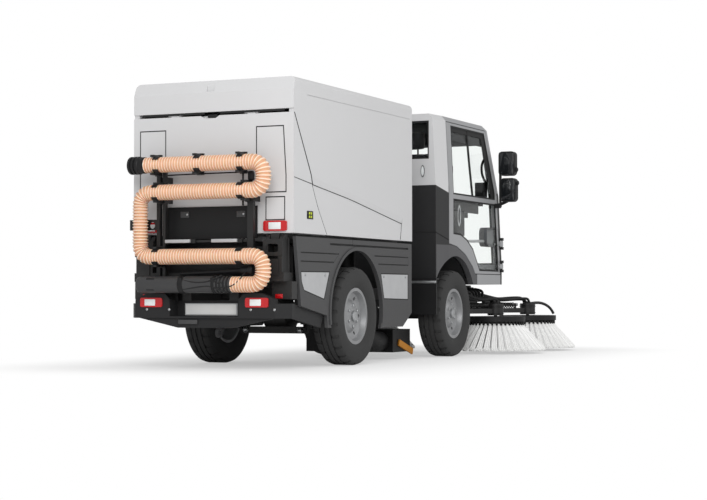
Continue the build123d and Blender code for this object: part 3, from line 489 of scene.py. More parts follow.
class SWEEPER_OT_hose(bpy.types.Operator):
    """Ribbed suction hose along its clipped route on the rear door"""
    bl_idname = "sweeper.hose"
    bl_label = "Suction hose"

    def execute(self, context):
        p = look()
        # Control points of the route: corners of the runs, with a point each side of a corner on a long run
        route = [
            (426, 1400), (-304, 1400), (-488, 1400), (-488, 1210), (-304, 1210), (284, 1210), (468, 1210),
            (468, 1026), (468, 953), (468, 769), (284, 769), (-304, 769), (-488, 769), (-488, 579),
            (-304, 579), (-258, 579),
        ]
        crest, pitch = 0.054, p.rib_pitch
        wall = crest - p.rib_depth
        rise, fall, foot = 0.25 * pitch, 0.55 * pitch, 0.8 * pitch
        rib = lathe([(wall, 0), (crest, rise), (crest, fall), (wall, foot), (wall, pitch)],
                    28, (0, 0, 0), (1, 0, 0), capped=False)
        for name in ("peach_polyurethane", "rib_crest_painted_highlight"):
            rib.data.materials.append(bpy.data.materials[name])
        # Faces on a rib's crest take the paler material: a painted highlight
        for face in rib.data.polygons:
            face.material_index = int(rise < face.center.x < fall)
        guide = path([at(HOSE_X, y, z) for y, z in route])
        guide.data.resolution_u = 24
        only(rib)
        row = rib.modifiers.new("row", "ARRAY")
        row.fit_type = "FIT_CURVE"
        row.curve = guide
        row.use_merge_vertices = True
        row.merge_threshold = 0.0004
        bend = rib.modifiers.new("bend", "CURVE")
        bend.object = guide
        bend.deform_axis = "POS_X"
        bpy.ops.object.modifier_apply(modifier="row")
        bpy.ops.object.modifier_apply(modifier="bend")
        edit()
        pick_rims()
        bpy.ops.mesh.fill_holes(sides=64)
        outward()
        leave()
        bpy.data.objects.remove(guide)
        done(rib, "ribbed_hose", "peach_polyurethane", "gate", angle=60)
        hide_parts("suction_hose")
        return {"FINISHED"}


class SWEEPER_OT_hose_clips(bpy.types.Operator):
    """Spring clips round the hose, the strap between its runs and the stay beside it"""
    bl_idname = "sweeper.hose_clips"
    bl_label = "Hose clips"

    def execute(self, context):
        radius, half = 0.0562, 0.022
        spots = [(327, 1400), (6, 1400), (-324, 1400), (335, 1210), (-324, 1210), (333, 769), (-317, 769)]
        clips = []
        for y, z in spots:
            middle = at(HOSE_X, y, z)
            clip = lathe([(radius, -half), (radius, half)], 48, middle, (0, 1, 0), capped=False)
            edit()
            # The mouth of a clip is open to the rear, and its back is fixed to the rack
            pick(clip, lambda c, n: not 0.7 < abs(atan2(c.z - middle.z, middle.x - c.x)) < 2.1)
            bpy.ops.mesh.delete(type="FACE")
            leave()
            clips.append(thicken(clip, 0.004))
        strap = tube(run([(-100, 289, 1332), (-100, -40, 1338), (-100, -363, 1337)]), 0.005)
        stay = tube(run([(-100, -296, 1353), (-100, -296, 1111)]), 0.007, order=2)
        stop = block((0.030, 0.044, 0.066), at(-118, -368, 1310), 0.012, segments=3)
        done(clips + [strap, stay, stop], "hose_clips", "black_moulded_plastic", "gate")
        return {"FINISHED"}


class SWEEPER_OT_tyres(bpy.types.Operator):
    """Tyres with grooved and cross-cut tread in place of the plain ones"""
    bl_idname = "sweeper.tyres"
    bl_label = "Tyres"

    def execute(self, context):
        depth, steps = look().tread_depth, 96
        low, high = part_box("tyre_rear_left")
        middle = (low + high) / 2
        outer = (high.z - low.z) / 2
        # Half width and depth below the tread of each ring, from the bead out to the tread
        side = [
            (84, 149.7), (96, 132), (103, 115), (107, 92), (107, 70), (105, 48), (102, 27), (96, 15),
            (88, 7),
        ]
        # Edges of the shoulder and the grooves from the middle of the tread
        tread = [64, 44, 36, 6]
        rings = [(outer - d / 1000, -w / 1000) for w, d in side] + [(outer, -w / 1000) for w in tread]
        rings += [(r, -h) for r, h in reversed(rings)]
        tyre = lathe(rings, steps, (0, 0, 0), (0, 1, 0), capped=False)

        def groove(c, n):
            return hypot(c.x, c.z) > outer - 0.003 and (0.036 < abs(c.y) < 0.044 or abs(c.y) < 0.006)

        def cross_cut(c, n):
            """Every fourth step of the shoulders, out of turn from side to side."""
            step = int(round(atan2(c.z, c.x) / (2 * pi / steps) - 0.5))
            shoulder = hypot(c.x, c.z) > outer - 0.012 and abs(n.y) < 0.75 and abs(c.y) > 0.046
            return shoulder and step % 4 == (0 if c.y > 0 else 2)

        edit()
        pick_rims()
        bpy.ops.mesh.bridge_edge_loops()
        outward()
        for test, share in ((groove, 1.0), (cross_cut, 0.75)):
            pick(tyre, test)
            bpy.ops.mesh.extrude_region_shrink_fatten(TRANSFORM_OT_shrink_fatten={"value": -share * depth})
        leave()
        tyre.data.transform(Matrix.Translation(middle))
        for corner in CORNERS:
            low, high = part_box("tyre_" + corner)
            twin = copy_of(tyre, Matrix.Translation((low + high) / 2 - middle))
            done(twin, "treaded_tyre_" + corner, "tyre_rubber", "wheel_" + corner, angle=30)
            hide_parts("tyre_" + corner)
        bpy.data.objects.remove(tyre)
        return {"FINISHED"}


class SWEEPER_OT_hubs(bpy.types.Operator):
    """Hub caps and wheel nuts"""
    bl_idname = "sweeper.hubs"
    bl_label = "Hubs and wheel nuts"

    def execute(self, context):
        cap = [(0.040, 0), (0.039, 0.012), (0.032, 0.02), (0.014, 0.024)]
        nut = [(0.014, 0), (0.014, 0.003), (0.011, 0.004), (0.011, 0.012), (0.006, 0.015)]
        # Number of nuts, radius of their circle, the cap's place out from the middle and the nuts' below it
        nuts, circle, proud, sunk = 6, 0.075, 0.066, 0.011
        for corner in CORNERS:
            side = SIDES[corner.split("_")[1]]
            low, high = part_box("rim_" + corner)
            hub = (low + high) / 2
            face = hub.y + side * proud
            pieces = [lathe(cap, 32, (hub.x, face, hub.z), (0, side, 0))]
            for turn in range(nuts):
                angle = 2 * pi * (turn + 0.5) / nuts
                spot = (hub.x + circle * cos(angle), face - side * sunk, hub.z + circle * sin(angle))
                pieces.append(lathe(nut, 6, spot, (0, side, 0)))
            done(pieces, "hub_" + corner, "zinc_plated_steel", "wheel_" + corner)
        return {"FINISHED"}


class SWEEPER_OT_bristles(bpy.types.Operator):
    """Brush bristles as fanned tufts of single strands, and the toothed ring that holds them"""
    bl_idname = "sweeper.bristles"
    bl_label = "Bristles"

    def all_round(self, piece, shift):
        """Copies of a piece round the brush, one for each tuft, in place of it."""
        tufts = 40
        copies = [copy_of(piece, Matrix.Rotation(2 * pi * (turn + shift) / tufts, 4, "Z"))
                  for turn in range(tufts)]
        bpy.data.objects.remove(piece)
        return copies

    def execute(self, context):
        # Radius and height of a strand's root and of its tip
        root, top, tip, drop = 0.212, 0.272, 0.428, 0.026
        tuft = []
        for strand in range(13):
            spread = (strand - 6) / 6
            tilt = 0.006 * ((strand * 7) % 5 - 2) / 2
            start = Vector((root + tilt, 0.010 * spread, top))
            along = Vector((tip + 0.9 * tilt, 0.026 * spread, drop + 0.006 * (strand % 3))) - start
            rings = [(0.0046, 0), (0.0052, 0.5 * along.length), (0.0048, along.length)]
            tuft.append(lathe(rings, 5, start, along))
        brush = join(self.all_round(join(tuft), 0))
        teeth = self.all_round(block((0.034, 0.018, 0.030), (0.236, 0, 0.259), 0.003, segments=1), 0.5)
        section = [(0.19, 0.2735), (0.236, 0.2735), (0.236, 0.250), (0.19, 0.250), (0.19, 0.2735)]
        ring = weld(lathe(section, 48, (0, 0, 0), (0, 0, 1), capped=False))
        holder = join(teeth + [ring])
        for name in BRUSHES:
            low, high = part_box("bristles_" + name)
            middle = Matrix.Translation(((low.x + high.x) / 2, (low.y + high.y) / 2, 0))
            twin = done(copy_of(brush, middle), "bristle_tufts_" + name, "bristle_polypropylene",
                        "brush_" + name)
            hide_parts("bristles_" + name)
            done(copy_of(holder, middle), "tuft_holder_" + name, "black_moulded_plastic",
                 "brush_" + name)
        bpy.data.objects.remove(brush)
        bpy.data.objects.remove(holder)
        return {"FINISHED"}


class SWEEPER_OT_lamps(bpy.types.Operator):
    """White lenses in the rear lamps, lamps on the cab's back and red reflectors below"""
    bl_idname = "sweeper.lamps"
    bl_label = "Lamp lenses"

    def execute(self, context):
        upper = pair((0.006, 0.092, 0.048), (-15, 492, 975), 0.0025)
        done(upper, "tail_lamp_lenses", "white_acrylic", "gate")
        lower = [block((0.006, 0.084, 0.044), at(-123, y, 457), 0.0025) for y in (419, -403)]
        done(lower, "bumper_lamp_lenses", "white_acrylic", "chassis")
        for name, material, grow, step in (
            ("cab_back_lamp_rims", "grey_door_trim", 1.0, 0), ("cab_back_lamps", "white_acrylic", 0.72, 3),
        ):
            rings = [(0.017 * grow, 0), (0.017 * grow, 0.005), (0.014 * grow, 0.008)]
            stretch = Matrix.Diagonal((1, 1, 2.9 / grow ** 0.3, 1))
            lamps = []
            for side in SIDES.values():
                middle = at(2600, side * 492, 1514)
                lamp = lathe(rings, 20, at(2600 - step, side * 492, 1514), (-1, 0, 0))
                lamp.data.transform(Matrix.Translation(middle) @ stretch @ Matrix.Translation(-middle))
                lamps.append(lamp)
            done(lamps, name, material, "chassis")
        reflectors = pair((0.008, 0.056, 0.030), (-3, 520, 500), 0.003)
        done(reflectors, "low_reflectors", "red_acrylic", "chassis")
        return {"FINISHED"}


class SWEEPER_OT_mirrors(bpy.types.Operator):
    """Mirror glass in the mirror heads, the knobs on their sides and the lower bracket"""
    bl_idname = "sweeper.mirrors"
    bl_label = "Mirror glass"

    def execute(self, context):
        knob = [(0.022, 0), (0.022, 0.010), (0.015, 0.018)]
        for name, side in SIDES.items():
            door = "door_" + name
            # Panes of mirror glass, painted near black as their dark reflection
            panes = [block((0.006, width, height), at(3919, side * y, z), 0.0025)
                     for y, z, width, height in ((740, 1660, 0.128, 0.186), (752, 1428, 0.120, 0.182))]
            done(panes, "mirror_glass_" + name, "mirror_glass_painted_dark_reflection", door)
            knobs = [lathe(knob, 20, at(3955, side * y, z), (0, side, 0))
                     for y, z in ((814, 1606), (822, 1489))]
            bracket = tube(run([(3950, 640, 1296), (3950, 700, 1310), (3955, 760, 1345)], side), 0.014)
            done(knobs + [bracket], "mirror_knobs_" + name, "black_moulded_plastic", door)
        return {"FINISHED"}


class SWEEPER_OT_window_seals(bpy.types.Operator):
    """Rubber seals round the windows, with the bar and border of the doors' upper ones, and a dark strip of
    painted shade inside their top
    """
    bl_idname = "sweeper.window_seals"
    bl_label = "Window seals"

    def pane(self, outline, side, half, thick, width=None):
        """A plate or frame that leans with the cab's side."""
        return sheet([at(x, side * (half - lean(z)), z) for x, z in outline], thick, width)

    def execute(self, context):
        upper = [(2927, 1912), (3722, 1912), (3925, 1400), (3925, 1340), (2927, 1340)]
        lower = [
            (2927, 1305), (3935, 1305), (4005, 800), (4008, 712), (3535, 712), (3491, 765), (3375, 890),
            (3232, 965), (3091, 1005), (2927, 1010),
        ]
        # Black ceramic border fired on to the glass along its top and front edges
        borders = (
            [(2927, 1912), (3722, 1912), (3646, 1862), (2927, 1862)],
            [(3722, 1912), (3925, 1400), (3925, 1340), (3838, 1340), (3838, 1392), (3646, 1862)],
        )
        # Outline of a dark strip inside the top of the upper window: painted shade for the dim cab top seen
        # through the glass
        header = [(2932, 1908), (3716, 1908), (3690, 1792), (2932, 1792)]
        bar = [(3318, 594, 1900), (3360, 602, 1630), (3412, 613, 1342)]
        for name, side in SIDES.items():
            pieces = [self.pane(outline, side, 625, 0.008, 0.014) for outline in (upper, lower)]
            pieces.append(tube(run(bar, side), 0.011, order=2))
            pieces.append(block((0.034, 0.016, 0.066), at(2948, side * 606, 1543), 0.004))
            pieces += [self.pane(border, side, 622, 0.003) for border in borders]
            shade_strip = self.pane(header, side, 606, 0.004)
            done(shade_strip, "door_shade_strip_" + name, "charcoal_felt", "door_" + name)
            done(pieces, "window_seals_" + name, "black_seal_rubber", "door_" + name)
        top = [at(2612, y, z) for y, z in ((545, 1614), (545, 1925), (-545, 1925), (-545, 1614))]
        done(sheet(top, 0.008, 0.014), "rear_window_seal", "black_seal_rubber", "chassis")
        return {"FINISHED"}


class SWEEPER_OT_door_trim(bpy.types.Operator):
    """Trim inside the doors: lock panel, pull, pocket and rail, and the grab handles on the pillars"""
    bl_idname = "sweeper.door_trim"
    bl_label = "Door trim"

    def execute(self, context):
        grip = [
            (3885, 552, 1712), (3818, 548, 1668), (3798, 548, 1600), (3835, 548, 1535), (3912, 552, 1488),
        ]
        for name, side in SIDES.items():
            door = "door_" + name
            dark = [
                block((0.640, 0.012, 0.125), at(3250, side * 602, 1265), 0.005),
                block((0.305, 0.012, 0.215), at(3085, side * 602, 1112), 0.005),
            ]
            done(dark, "door_lock_panel_" + name, "black_moulded_plastic", door)
            pocket = block((0.290, 0.024, 0.165), at(3862, side * 594, 1012), 0.05, segments=5)
            sill = block((0.450, 0.012, 0.060), at(3775, side * 602, 742), 0.005)
            riser = block((0.060, 0.012, 0.160), at(3968, side * 602, 845), 0.005)
            done([pocket, sill, riser], "door_pocket_" + name, "grey_door_trim", door)
            clear()
            bpy.ops.mesh.primitive_torus_add(
                major_segments=36, minor_segments=8, major_radius=0.030, minor_radius=0.006,
                location=at(3110, side * 606, 1172), rotation=(pi / 2, 0, 0))
            pull = context.object
            pull.scale = (1, 2.6, 1)
            settle(pull)
            rail = tube(run([(3336, 594, 964), (3500, 590, 968), (3720, 594, 975)], side), 0.012)
            done([pull, rail], "door_pull_" + name, "silver_cab_enamel", door)
            grab = tube(run(grip, side), 0.011)
            done(grab, "pillar_handle_" + name, "black_moulded_plastic", "chassis")
        return {"FINISHED"}


class SWEEPER_OT_roof_lining(bpy.types.Operator):
    """Felt lining under the cab's roof and the header box above the windscreen"""
    bl_idname = "sweeper.roof_lining"
    bl_label = "Roof lining"

    def execute(self, context):
        lining = block((0.930, 1.080, 0.016), at(3225, 0, 1922), 0.006)
        header = block((0.150, 1.060, 0.120), at(3690, 0, 1866), 0.02, segments=3)
        edit()
        pick(header, lambda c, n: n.z < -0.9)
        bpy.ops.mesh.inset(thickness=0.018, depth=-0.006)
        leave()
        done([lining, header], "roof_lining", "charcoal_felt", "chassis")
        return {"FINISHED"}


class SWEEPER_OT_seats(bpy.types.Operator):
    """Padded seat cushions, backs and head rests, swollen as cloth under pressure"""
    bl_idname = "sweeper.seats"
    bl_label = "Seats"

    def pad(self, size, place, tilt, lines):
        """One pad: a rounded block swelled by cloth, with sewn lines pressed in across its width."""
        # Most that the cloth may swell, and the depth and breadth of a sewn line
        swell, press, breadth = 0.008, 0.006, 0.010
        ob = block(size, (0, 0, 0), 0.3 * min(size), segments=3)
        ob.data.remesh_voxel_size = 0.014
        only(ob)
        bpy.ops.object.voxel_remesh()
        rest = [v.co.copy() for v in ob.data.vertices]
        cloth = ob.modifiers.new("cloth", "CLOTH")
        cloth.settings.use_pressure = True
        cloth.settings.uniform_pressure_force = 4
        cloth.settings.effector_weights.gravity = 0
        for step in range(1, 13):
            bpy.context.scene.frame_set(step)
        bpy.ops.object.modifier_apply(modifier="cloth")
        bpy.context.scene.frame_set(1)
        for v, start in zip(ob.data.vertices, rest):
            move = v.co - start
            if move.length > swell:
                v.co = start + move * (swell / move.length)
        for v in ob.data.vertices:
            share = sum(exp(-((v.co.y - y) / breadth) ** 2) for y in lines)
            v.co -= press * share * Vector((v.co.x / size[0], 0, v.co.z / size[2]))
        soft = ob.modifiers.new("soft", "SUBSURF")
        soft.levels = soft.render_levels = 1
        bpy.ops.object.modifier_apply(modifier="soft")
        ob.rotation_euler = (0, tilt, 0)
        ob.location = place
        return settle(ob)

    def execute(self, context):
        lines = (-0.11, 0.11)
        # Size, place, tilt and sewn lines of each pad: cushion, back, head rest
        left = join([
            self.pad((0.450, 0.415, 0.085), at(3100, 290, 1055), 0.0, lines),
            self.pad((0.080, 0.400, 0.590), at(2887, 290, 1390), radians(-6.8), lines),
            self.pad((0.066, 0.235, 0.142), at(2840, 290, 1786), 0.0, ()),
        ])
        base = block((0.40, 0.34, 0.12), at(3080, 290, 945), 0.012)
        posts = [lathe([(0.007, 0), (0.007, 0.05)], 12, at(2840, y, 1672), (0, 0, 1)) for y in (230, 350)]
        for name, ob in (("left", left), ("right", copy_of(left, MIRROR))):
            pad = done(ob, "seat_pads_" + name, "woven_seat_cloth", "chassis", angle=80)
            if name == "left":
                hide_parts("seats")
        stand = join([base] + posts)
        for name, ob in (("right", copy_of(stand, MIRROR)), ("left", stand)):
            done(ob, "seat_base_" + name, "black_moulded_plastic", "chassis")
        return {"FINISHED"}


class SWEEPER_OT_fasteners(bpy.types.Operator):
    """Bolt heads on the side plates and the bumper, caps on the track rod, and the door's latch plates"""
    bl_idname = "sweeper.fasteners"
    bl_label = "Bolts"

    def execute(self, context):
        r = look().bolt
        head = [(r, 0), (r, 0.003), (0.7 * r, 0.005)]
        dome = [(0.0235, 0), (0.0215, 0.009), (0.015, 0.018), (0.006, 0.0225)]
        screw = [(0.007, 0), (0.007, 0.003), (0.004, 0.005)]
        rows = [lathe(head, 12, at(-112, y, 409), (-1, 0, 0)) for y in (449, 271, -362, -542)]
        for side in SIDES.values():
            rows += [lathe(head, 12, at(x, side * 621, 645), (0, side, 0)) for x in (190, 500, 1520, 1930)]
            rows.append(lathe(dome, 20, at(906, side * 225, 252), (-1, 0, 0)))
        done(rows, "body_bolts", "zinc_plated_steel", "chassis")
        places = ((208, 1063), (-233, 1060))
        plates = [block((0.007, 0.068, 0.042), at(-11, y, z), 0.003) for y, z in places]
        done(plates, "latch_plates", "moulded_grey_plastic", "gate")
        screws = [lathe(screw, 12, at(-14, y - 20, z), (-1, 0, 0)) for y, z in places]
        done(screws, "latch_screws", "zinc_plated_steel", "gate")
        return {"FINISHED"}


class SWEEPER_OT_rear_trim(bpy.types.Operator):
    """Strips of painted shade in the door's joint grooves, its top catch, the rack's bright bars, side
    marker, plate and socket
    """
    bl_idname = "sweeper.rear_trim"
    bl_label = "Rear trim"

    def execute(self, context):
        outlines = [
            [(579, 1655), (366, 1655), (366, 1200), (579, 1200)],
            [(-341, 1655), (-554, 1655), (-574, 1317), (-574, 1200), (-341, 1200)],
            [(-414, 1175), (-564, 1175), (-564, 1012), (-414, 1012)],
        ]
        # Black strips at the bottom of the door's outline grooves: painted shade that darkens the grooves
        groove_strips = [sheet([at(3, y, z) for y, z in outline], 0.003, 0.008) for outline in outlines]
        done(groove_strips, "door_groove_shade_strips", "black_seal_rubber", "gate")
        lips = pair((0.005, 0.500, 0.014), (3.5, 310, 1759), 0.002)
        done(lips, "cap_seal", "black_seal_rubber", "hopper")
        catch = block((0.026, 0.074, 0.022), at(14, 0, 1739), 0.004)
        done(catch, "door_catch", "black_moulded_plastic", "gate")
        bars = [block((0.020, 0.197, 0.024), at(-114, y, 876), 0.004) for y in (203, -161)]
        done(bars, "rack_bars", "anodised_aluminium", "gate")
        plate = block((0.094, 0.004, 0.056), at(247, -629, 1055), 0.0015)
        done(plate, "side_marker", "black_moulded_plastic", "gate")
        bars = [block((0.018, 0.003, 0.017), at(x, -631, z), 0.001)
                for x in (236, 264) for z in (1043, 1067)]
        done(bars, "side_marker_bars", "lime_reflective_sheeting", "gate")
        face = block((0.004, 0.396, 0.070), at(-11.5, 0, 410), 0.0015)
        done(face, "number_plate_face", "blank_plate_sheeting", "chassis")
        box = block((0.014, 0.150, 0.030), at(-105, 127, 324), 0.004)
        done(box, "bumper_socket", "moulded_grey_plastic", "chassis")
        return {"FINISHED"}


class SWEEPER_OT_side_seams(bpy.types.Operator):
    """Dark joints on the hopper's sides, black strips of painted shade in the skirts' grooves, and the dark
    bay above the bumper
    """
    bl_idname = "sweeper.side_seams"
    bl_label = "Side seams"

    def execute(self, context):
        # Body, distance from the middle and line of each joint
        joints = (
            ("hopper", 628, [(11, 1741), (269, 1333), (291, 1262)]),
            ("hopper", 623, [(291, 1262), (379, 1114), (524, 927)]),
            ("hopper", 623, [(290, 1268), (925, 1194), (1860, 1054)]),
            ("hopper", 623, [(1860, 1054), (1830, 932)]),
            ("gate", 628, [(8, 1303), (284, 1270)]),
            # The skirts' grooves get black strips: painted shade in the grooves
            ("chassis", GROOVE_Y, [(120, 798), (726, 798), (642, 738), (120, 738)]),
            ("chassis", GROOVE_Y, [(1345, 798), (1985, 798), (1985, 738), (1415, 738)]),
            ("chassis", GROOVE_Y, [(582, 865), (1985, 865)]),
            ("chassis", GROOVE_Y, [(960, 866), (960, 903)]),
        )
        plates = (
            [(120, 671), (580, 674), (487, 474), (170, 536), (130, 596)],
            [(1460, 671), (1985, 672), (1985, 469), (1520, 476)],
        )
        lines = {"hopper": [], "gate": [], "chassis": []}
        for side in SIDES.values():
            for body, y, points in joints:
                lines[body].append(tube([at(x, side * y, z) for x, z in points], 0.0026, order=2))
            # Frames round the skirts' panels, painted shade in the grooves round them
            for outline in plates:
                corners = [at(x, side * GROOVE_Y, z) for x, z in outline]
                lines["chassis"].append(sheet(corners, 0.003, 0.008))
        bays = pair((0.220, 0.020, 0.170), (190, 470, 470), 0.006)
        for body, pieces in lines.items():
            done(pieces, "seams_and_groove_shade_" + body, "black_seal_rubber", body)
        done(bays, "bumper_bays", "black_chassis_paint", "chassis")
        return {"FINISHED"}


class SWEEPER_OT_wand_fittings(bpy.types.Operator):
    """Clamps, end cap, cables and hand lance on the wand, and the cuff's rings"""
    bl_idname = "sweeper.wand_fittings"
    bl_label = "Wand fittings"

    def band(self, y, half):
        """A clamp round the wand with broken edges."""
        r, z, edge = 0.0615, 579, 0.003
        rings = [(r - edge, -half), (r, edge - half), (r, half - edge), (r - edge, half)]
        return lathe(rings, 40, at(HOSE_X, y, z), (0, 1, 0))

    def execute(self, context):
        fittings = [self.band(124, 0.021), self.band(-128, 0.012)]
        fittings += [self.band(y, 0.007) for y in (-160, -185, -212, -238)]
        fittings += [block((0.012, 0.062, 0.012), at(-212, 362, z), 0.003) for z in (618, 545)]
        fittings += [block((0.026, 0.030, 0.040), at(-214, y, 606), 0.005) for y in (124, -128)]
        done(fittings, "wand_clamps", "black_moulded_plastic", "gate")
        dome = [(0.058, 0), (0.0575, 0.010), (0.053, 0.020), (0.042, 0.027), (0.020, 0.030)]
        cap = lathe(dome, 40, at(HOSE_X, 455, 579), (0, 1, 0))
        done(cap, "wand_cap", "charcoal_nylon", "gate")
        butt, muzzle = at(-130, -395, 676), at(-128, 175, 652)
        barrel = [
            (0.030, 0), (0.034, 0.005), (0.034, 0.028), (0.029, 0.032), (0.029, 0.085), (0.019, 0.10),
            (0.019, 0.24), (0.014, 0.25), (0.014, 0.56), (0.010, 0.565),
        ]
        lance = lathe(barrel, 24, butt, muzzle - butt)
        stays = [block((0.050, 0.024, 0.020), at(-112, y, z), 0.004) for y, z in ((-250, 670), (60, 657))]
        done([lance] + stays, "hand_lance", "black_moulded_plastic", "gate")
        # Radius and line of each cable
        cables = [tube(run(points), radius) for radius, *points in (
            (0.005, (-205, 150, 622), (-224, 60, 596), (-225, -60, 590), (-224, -140, 612),
             (-200, -190, 640)),
            (0.005, (-212, 120, 545), (-225, 0, 560), (-225, -110, 572), (-222, -180, 540),
             (-200, -226, 528)),
            (0.0036, (-222, -120, 560), (-225, -190, 556), (-225, -290, 566), (-200, -350, 640),
             (-150, -350, 668)),
            (0.006, (-218, -130, 610), (-225, -165, 580), (-224, -200, 600), (-222, -215, 560),
             (-212, -240, 540)),
        )]
        done(cables, "wand_cables", "black_seal_rubber", "gate")
        bore, ring, waist, neck = 0.050, 0.062, 0.054, 0.057
        outside = [(bore, 0), (0.060, 0), (ring, 0.004)]
        for groove in (0.018, 0.046):
            outside += [(ring, groove), (waist, groove + 0.003)]
            outside += [(waist, groove + 0.011), (ring, groove + 0.014)]
        outside += [(ring, 0.074), (neck, 0.080), (neck, 0.117), (bore, 0.117), (bore, 0)]
        cuff = weld(lathe(outside, 48, at(HOSE_X, 543, 1400), (0, -1, 0), capped=False))
        done(cuff, "ringed_cuff", "black_moulded_plastic", "gate")
        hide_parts("hose_cuff")
        return {"FINISHED"}


class SWEEPER_OT_brush_gear(bpy.types.Operator):
    """Springs, lift cylinders, hoses and motor ribs on the brush arms"""
    bl_idname = "sweeper.brush_gear"
    bl_label = "Brush gear"

    def coil(self, start, along, length, radius, wire, turns):
        """A coil spring from its start along a line."""
        clear()
        bpy.ops.mesh.primitive_circle_add(
            vertices=8, radius=wire, location=(radius, 0, 0), rotation=(pi / 2, 0, 0))
        ob = settle(bpy.context.object)
        turn = ob.modifiers.new("turn", "SCREW")
        turn.axis = "Z"
        turn.screw_offset = length / turns
        turn.iterations = turns
        turn.steps = turn.render_steps = 16
        bpy.ops.object.modifier_apply(modifier="turn")
        edit()
        bpy.ops.mesh.remove_doubles(threshold=0.0001)
        pick_rims()
        bpy.ops.mesh.fill_holes(sides=12)
        outward()
        leave()
        ob.rotation_euler = along.to_track_quat("Z", "Y").to_euler()
        ob.location = start
        return settle(ob)

    def arm(self, name, bx, by, px, py):
        """What one arm carries, from its pivot out to its brush."""
        pivot, hub = at(px, py, 0), at(bx, by, 0)
        along = (hub - pivot).normalized()
        across = Vector((-along.y, along.x, 0))
        reach = (hub - pivot).length
        up = (0, 0, 1)

        def on(share, offset, z):
            return pivot + share * reach * along + offset * across + Vector((0, 0, z / 1000))

        length = 0.52 * reach
        start = on(0.26, 0, 414)
        spring = self.coil(start, along, length, 0.021, 0.0046, 13)
        done(spring, "arm_spring_" + name, "black_powder_coat", "arm_" + name)
        links = [block((0.018, 0.018, 0.046), on(share, 0, 404), 0.003) for share in (0.25, 0.79)]
        links.append(lathe([(0.009, 0), (0.009, length)], 12, start, along))
        rib = [(0.0705, -0.003), (0.076, -0.002), (0.076, 0.002), (0.0705, 0.003)]
        links += [lathe(rib, 36, at(bx, by, z), up) for z in (345, 400, 414)]
        # Lift cylinder beside the spring, on two lugs, and its rod
        body, gland, eye = on(0.30, 0.036, 446), on(0.56, 0.033, 434), on(0.84, 0.030, 420)
        barrel = [(0.020, 0), (0.024, 0.004), (0.024, 0.5 * length), (0.018, 0.5 * length + 0.006)]
        links.append(lathe(barrel, 20, body, eye - body))
        links += [block((0.022, 0.022, 0.060), on(share, 0.034, z), 0.003)
                  for share, z in ((0.30, 418), (0.60, 405))]
        done(links, "arm_links_" + name, "black_powder_coat", "arm_" + name)
        shank = [(0.009, 0), (0.009, 0.26 * reach), (0.013, 0.26 * reach + 0.004), (0.013, 0.30 * reach)]
        rod = lathe(shank, 16, gland, eye - gland)
        done(rod, "arm_rod_" + name, "zinc_plated_steel", "arm_" + name)
        # Motor hoses run back to a swivel on the pivot's axis, so they stay in it as the arm swings
        hoses = []
        for offset, lift in ((0.022, 0), (-0.022, 8), (0.050, 16)):
            hoses.append(tube([
                on(1.0, offset, 428), on(1.0, offset, 462 + lift), on(0.88, 1.6 * offset, 470 + lift),
                on(0.55, 1.9 * offset, 452 + lift), on(0.20, 1.5 * offset, 500 + lift),
                on(0.0, 0.35 * offset, 548 + lift), on(0.0, 0.35 * offset, 500)], 0.012))
        hoses.append(lathe([(0.030, 0), (0.030, 0.012), (0.020, 0.020)], 20, at(bx, by, 430), up))
        done(hoses, "motor_hoses_" + name, "black_seal_rubber", "arm_" + name)
        collar = [(0.046, 0), (0.046, 0.030), (0.036, 0.044), (0.036, 0.052)]
        swivel = lathe(collar, 28, at(px, py, 470), up)
        done(swivel, "hose_swivel_" + name, "black_powder_coat", "chassis")

    def execute(self, context):
        for name, spots in BRUSHES.items():
            self.arm(name, *spots)
        # Valve block under the cab's floor with its hoses to the front swivel
        valves = [block((0.300, 0.520, 0.080), at(3925, -90, 553), 0.008)]
        plug = [(0.018, 0), (0.018, 0.028), (0.013, 0.032), (0.013, 0.05)]
        for step, y in enumerate((-330, -270, -210, -150, 90)):
            valves.append(lathe(plug, 16, at(4070, y, 560 - 14 * (step % 2)), (1, 0, 0)))
        union = [(0.020, 0), (0.020, 0.03), (0.014, 0.034), (0.014, 0.06)]
        for step, x in enumerate((3830, 3900, 3970, 4040)):
            valves.append(lathe(union, 16, at(x, -350, 556), (0, -1, 0)))
            valves.append(tube(run([
                (x, -405, 556), (x, -440 - 10 * step, 552), (x + 40, -452, 512 - 8 * step),
                (x + 110, -430, 478 + 6 * step), (4160, -360, 496 + 10 * step),
                (4222, -262 - 6 * step, 506)]), 0.012))
        done(valves, "brush_valves", "black_moulded_plastic", "chassis")
        # Guard bow from the front motor out over the disc's edge
        bow = tube(run([
            (4868, -605, 424), (4935, -660, 440), (5010, -720, 428), (5065, -770, 380), (5082, -786, 334),
        ]), 0.013)
        done(bow, "front_guard_bow", "black_powder_coat", "arm_front")
        return {"FINISHED"}


class SWEEPER_OT_mouth_flap(bpy.types.Operator):
    """Orange rubber flap on the suction mouth's right end"""
    bl_idname = "sweeper.mouth_flap"
    bl_label = "Mouth flap"

    def execute(self, context):
        flap = block((0.290, 0.016, 0.052), at(2388, -429, 92), 0.005, turn=(0, radians(16), 0))
        done(flap, "mouth_flap", "orange_flap_rubber", "chassis")
        return {"FINISHED"}


class SWEEPER_OT_cab_trim(bpy.types.Operator):
    """Bright strips on the mudguards and the dark joint round the cab's back"""
    bl_idname = "sweeper.cab_trim"
    bl_label = "Cab trim"

    def execute(self, context):
        strips = pair((0.008, 0.404, 0.020), (2538, 430, 612), 0.002)
        done(strips, "mudguard_strips", "zinc_plated_steel", "chassis")
        joint = [tube(run([(2600, -603, 1020), (2600, 603, 1020)]), 0.006, order=2)]
        joint += [tube(run([(2600, 605, 1018), (2820, 630, 962)], side), 0.005, order=2)
                  for side in SIDES.values()]
        done(joint, "cab_joint", "black_seal_rubber", "chassis")
        return {"FINISHED"}


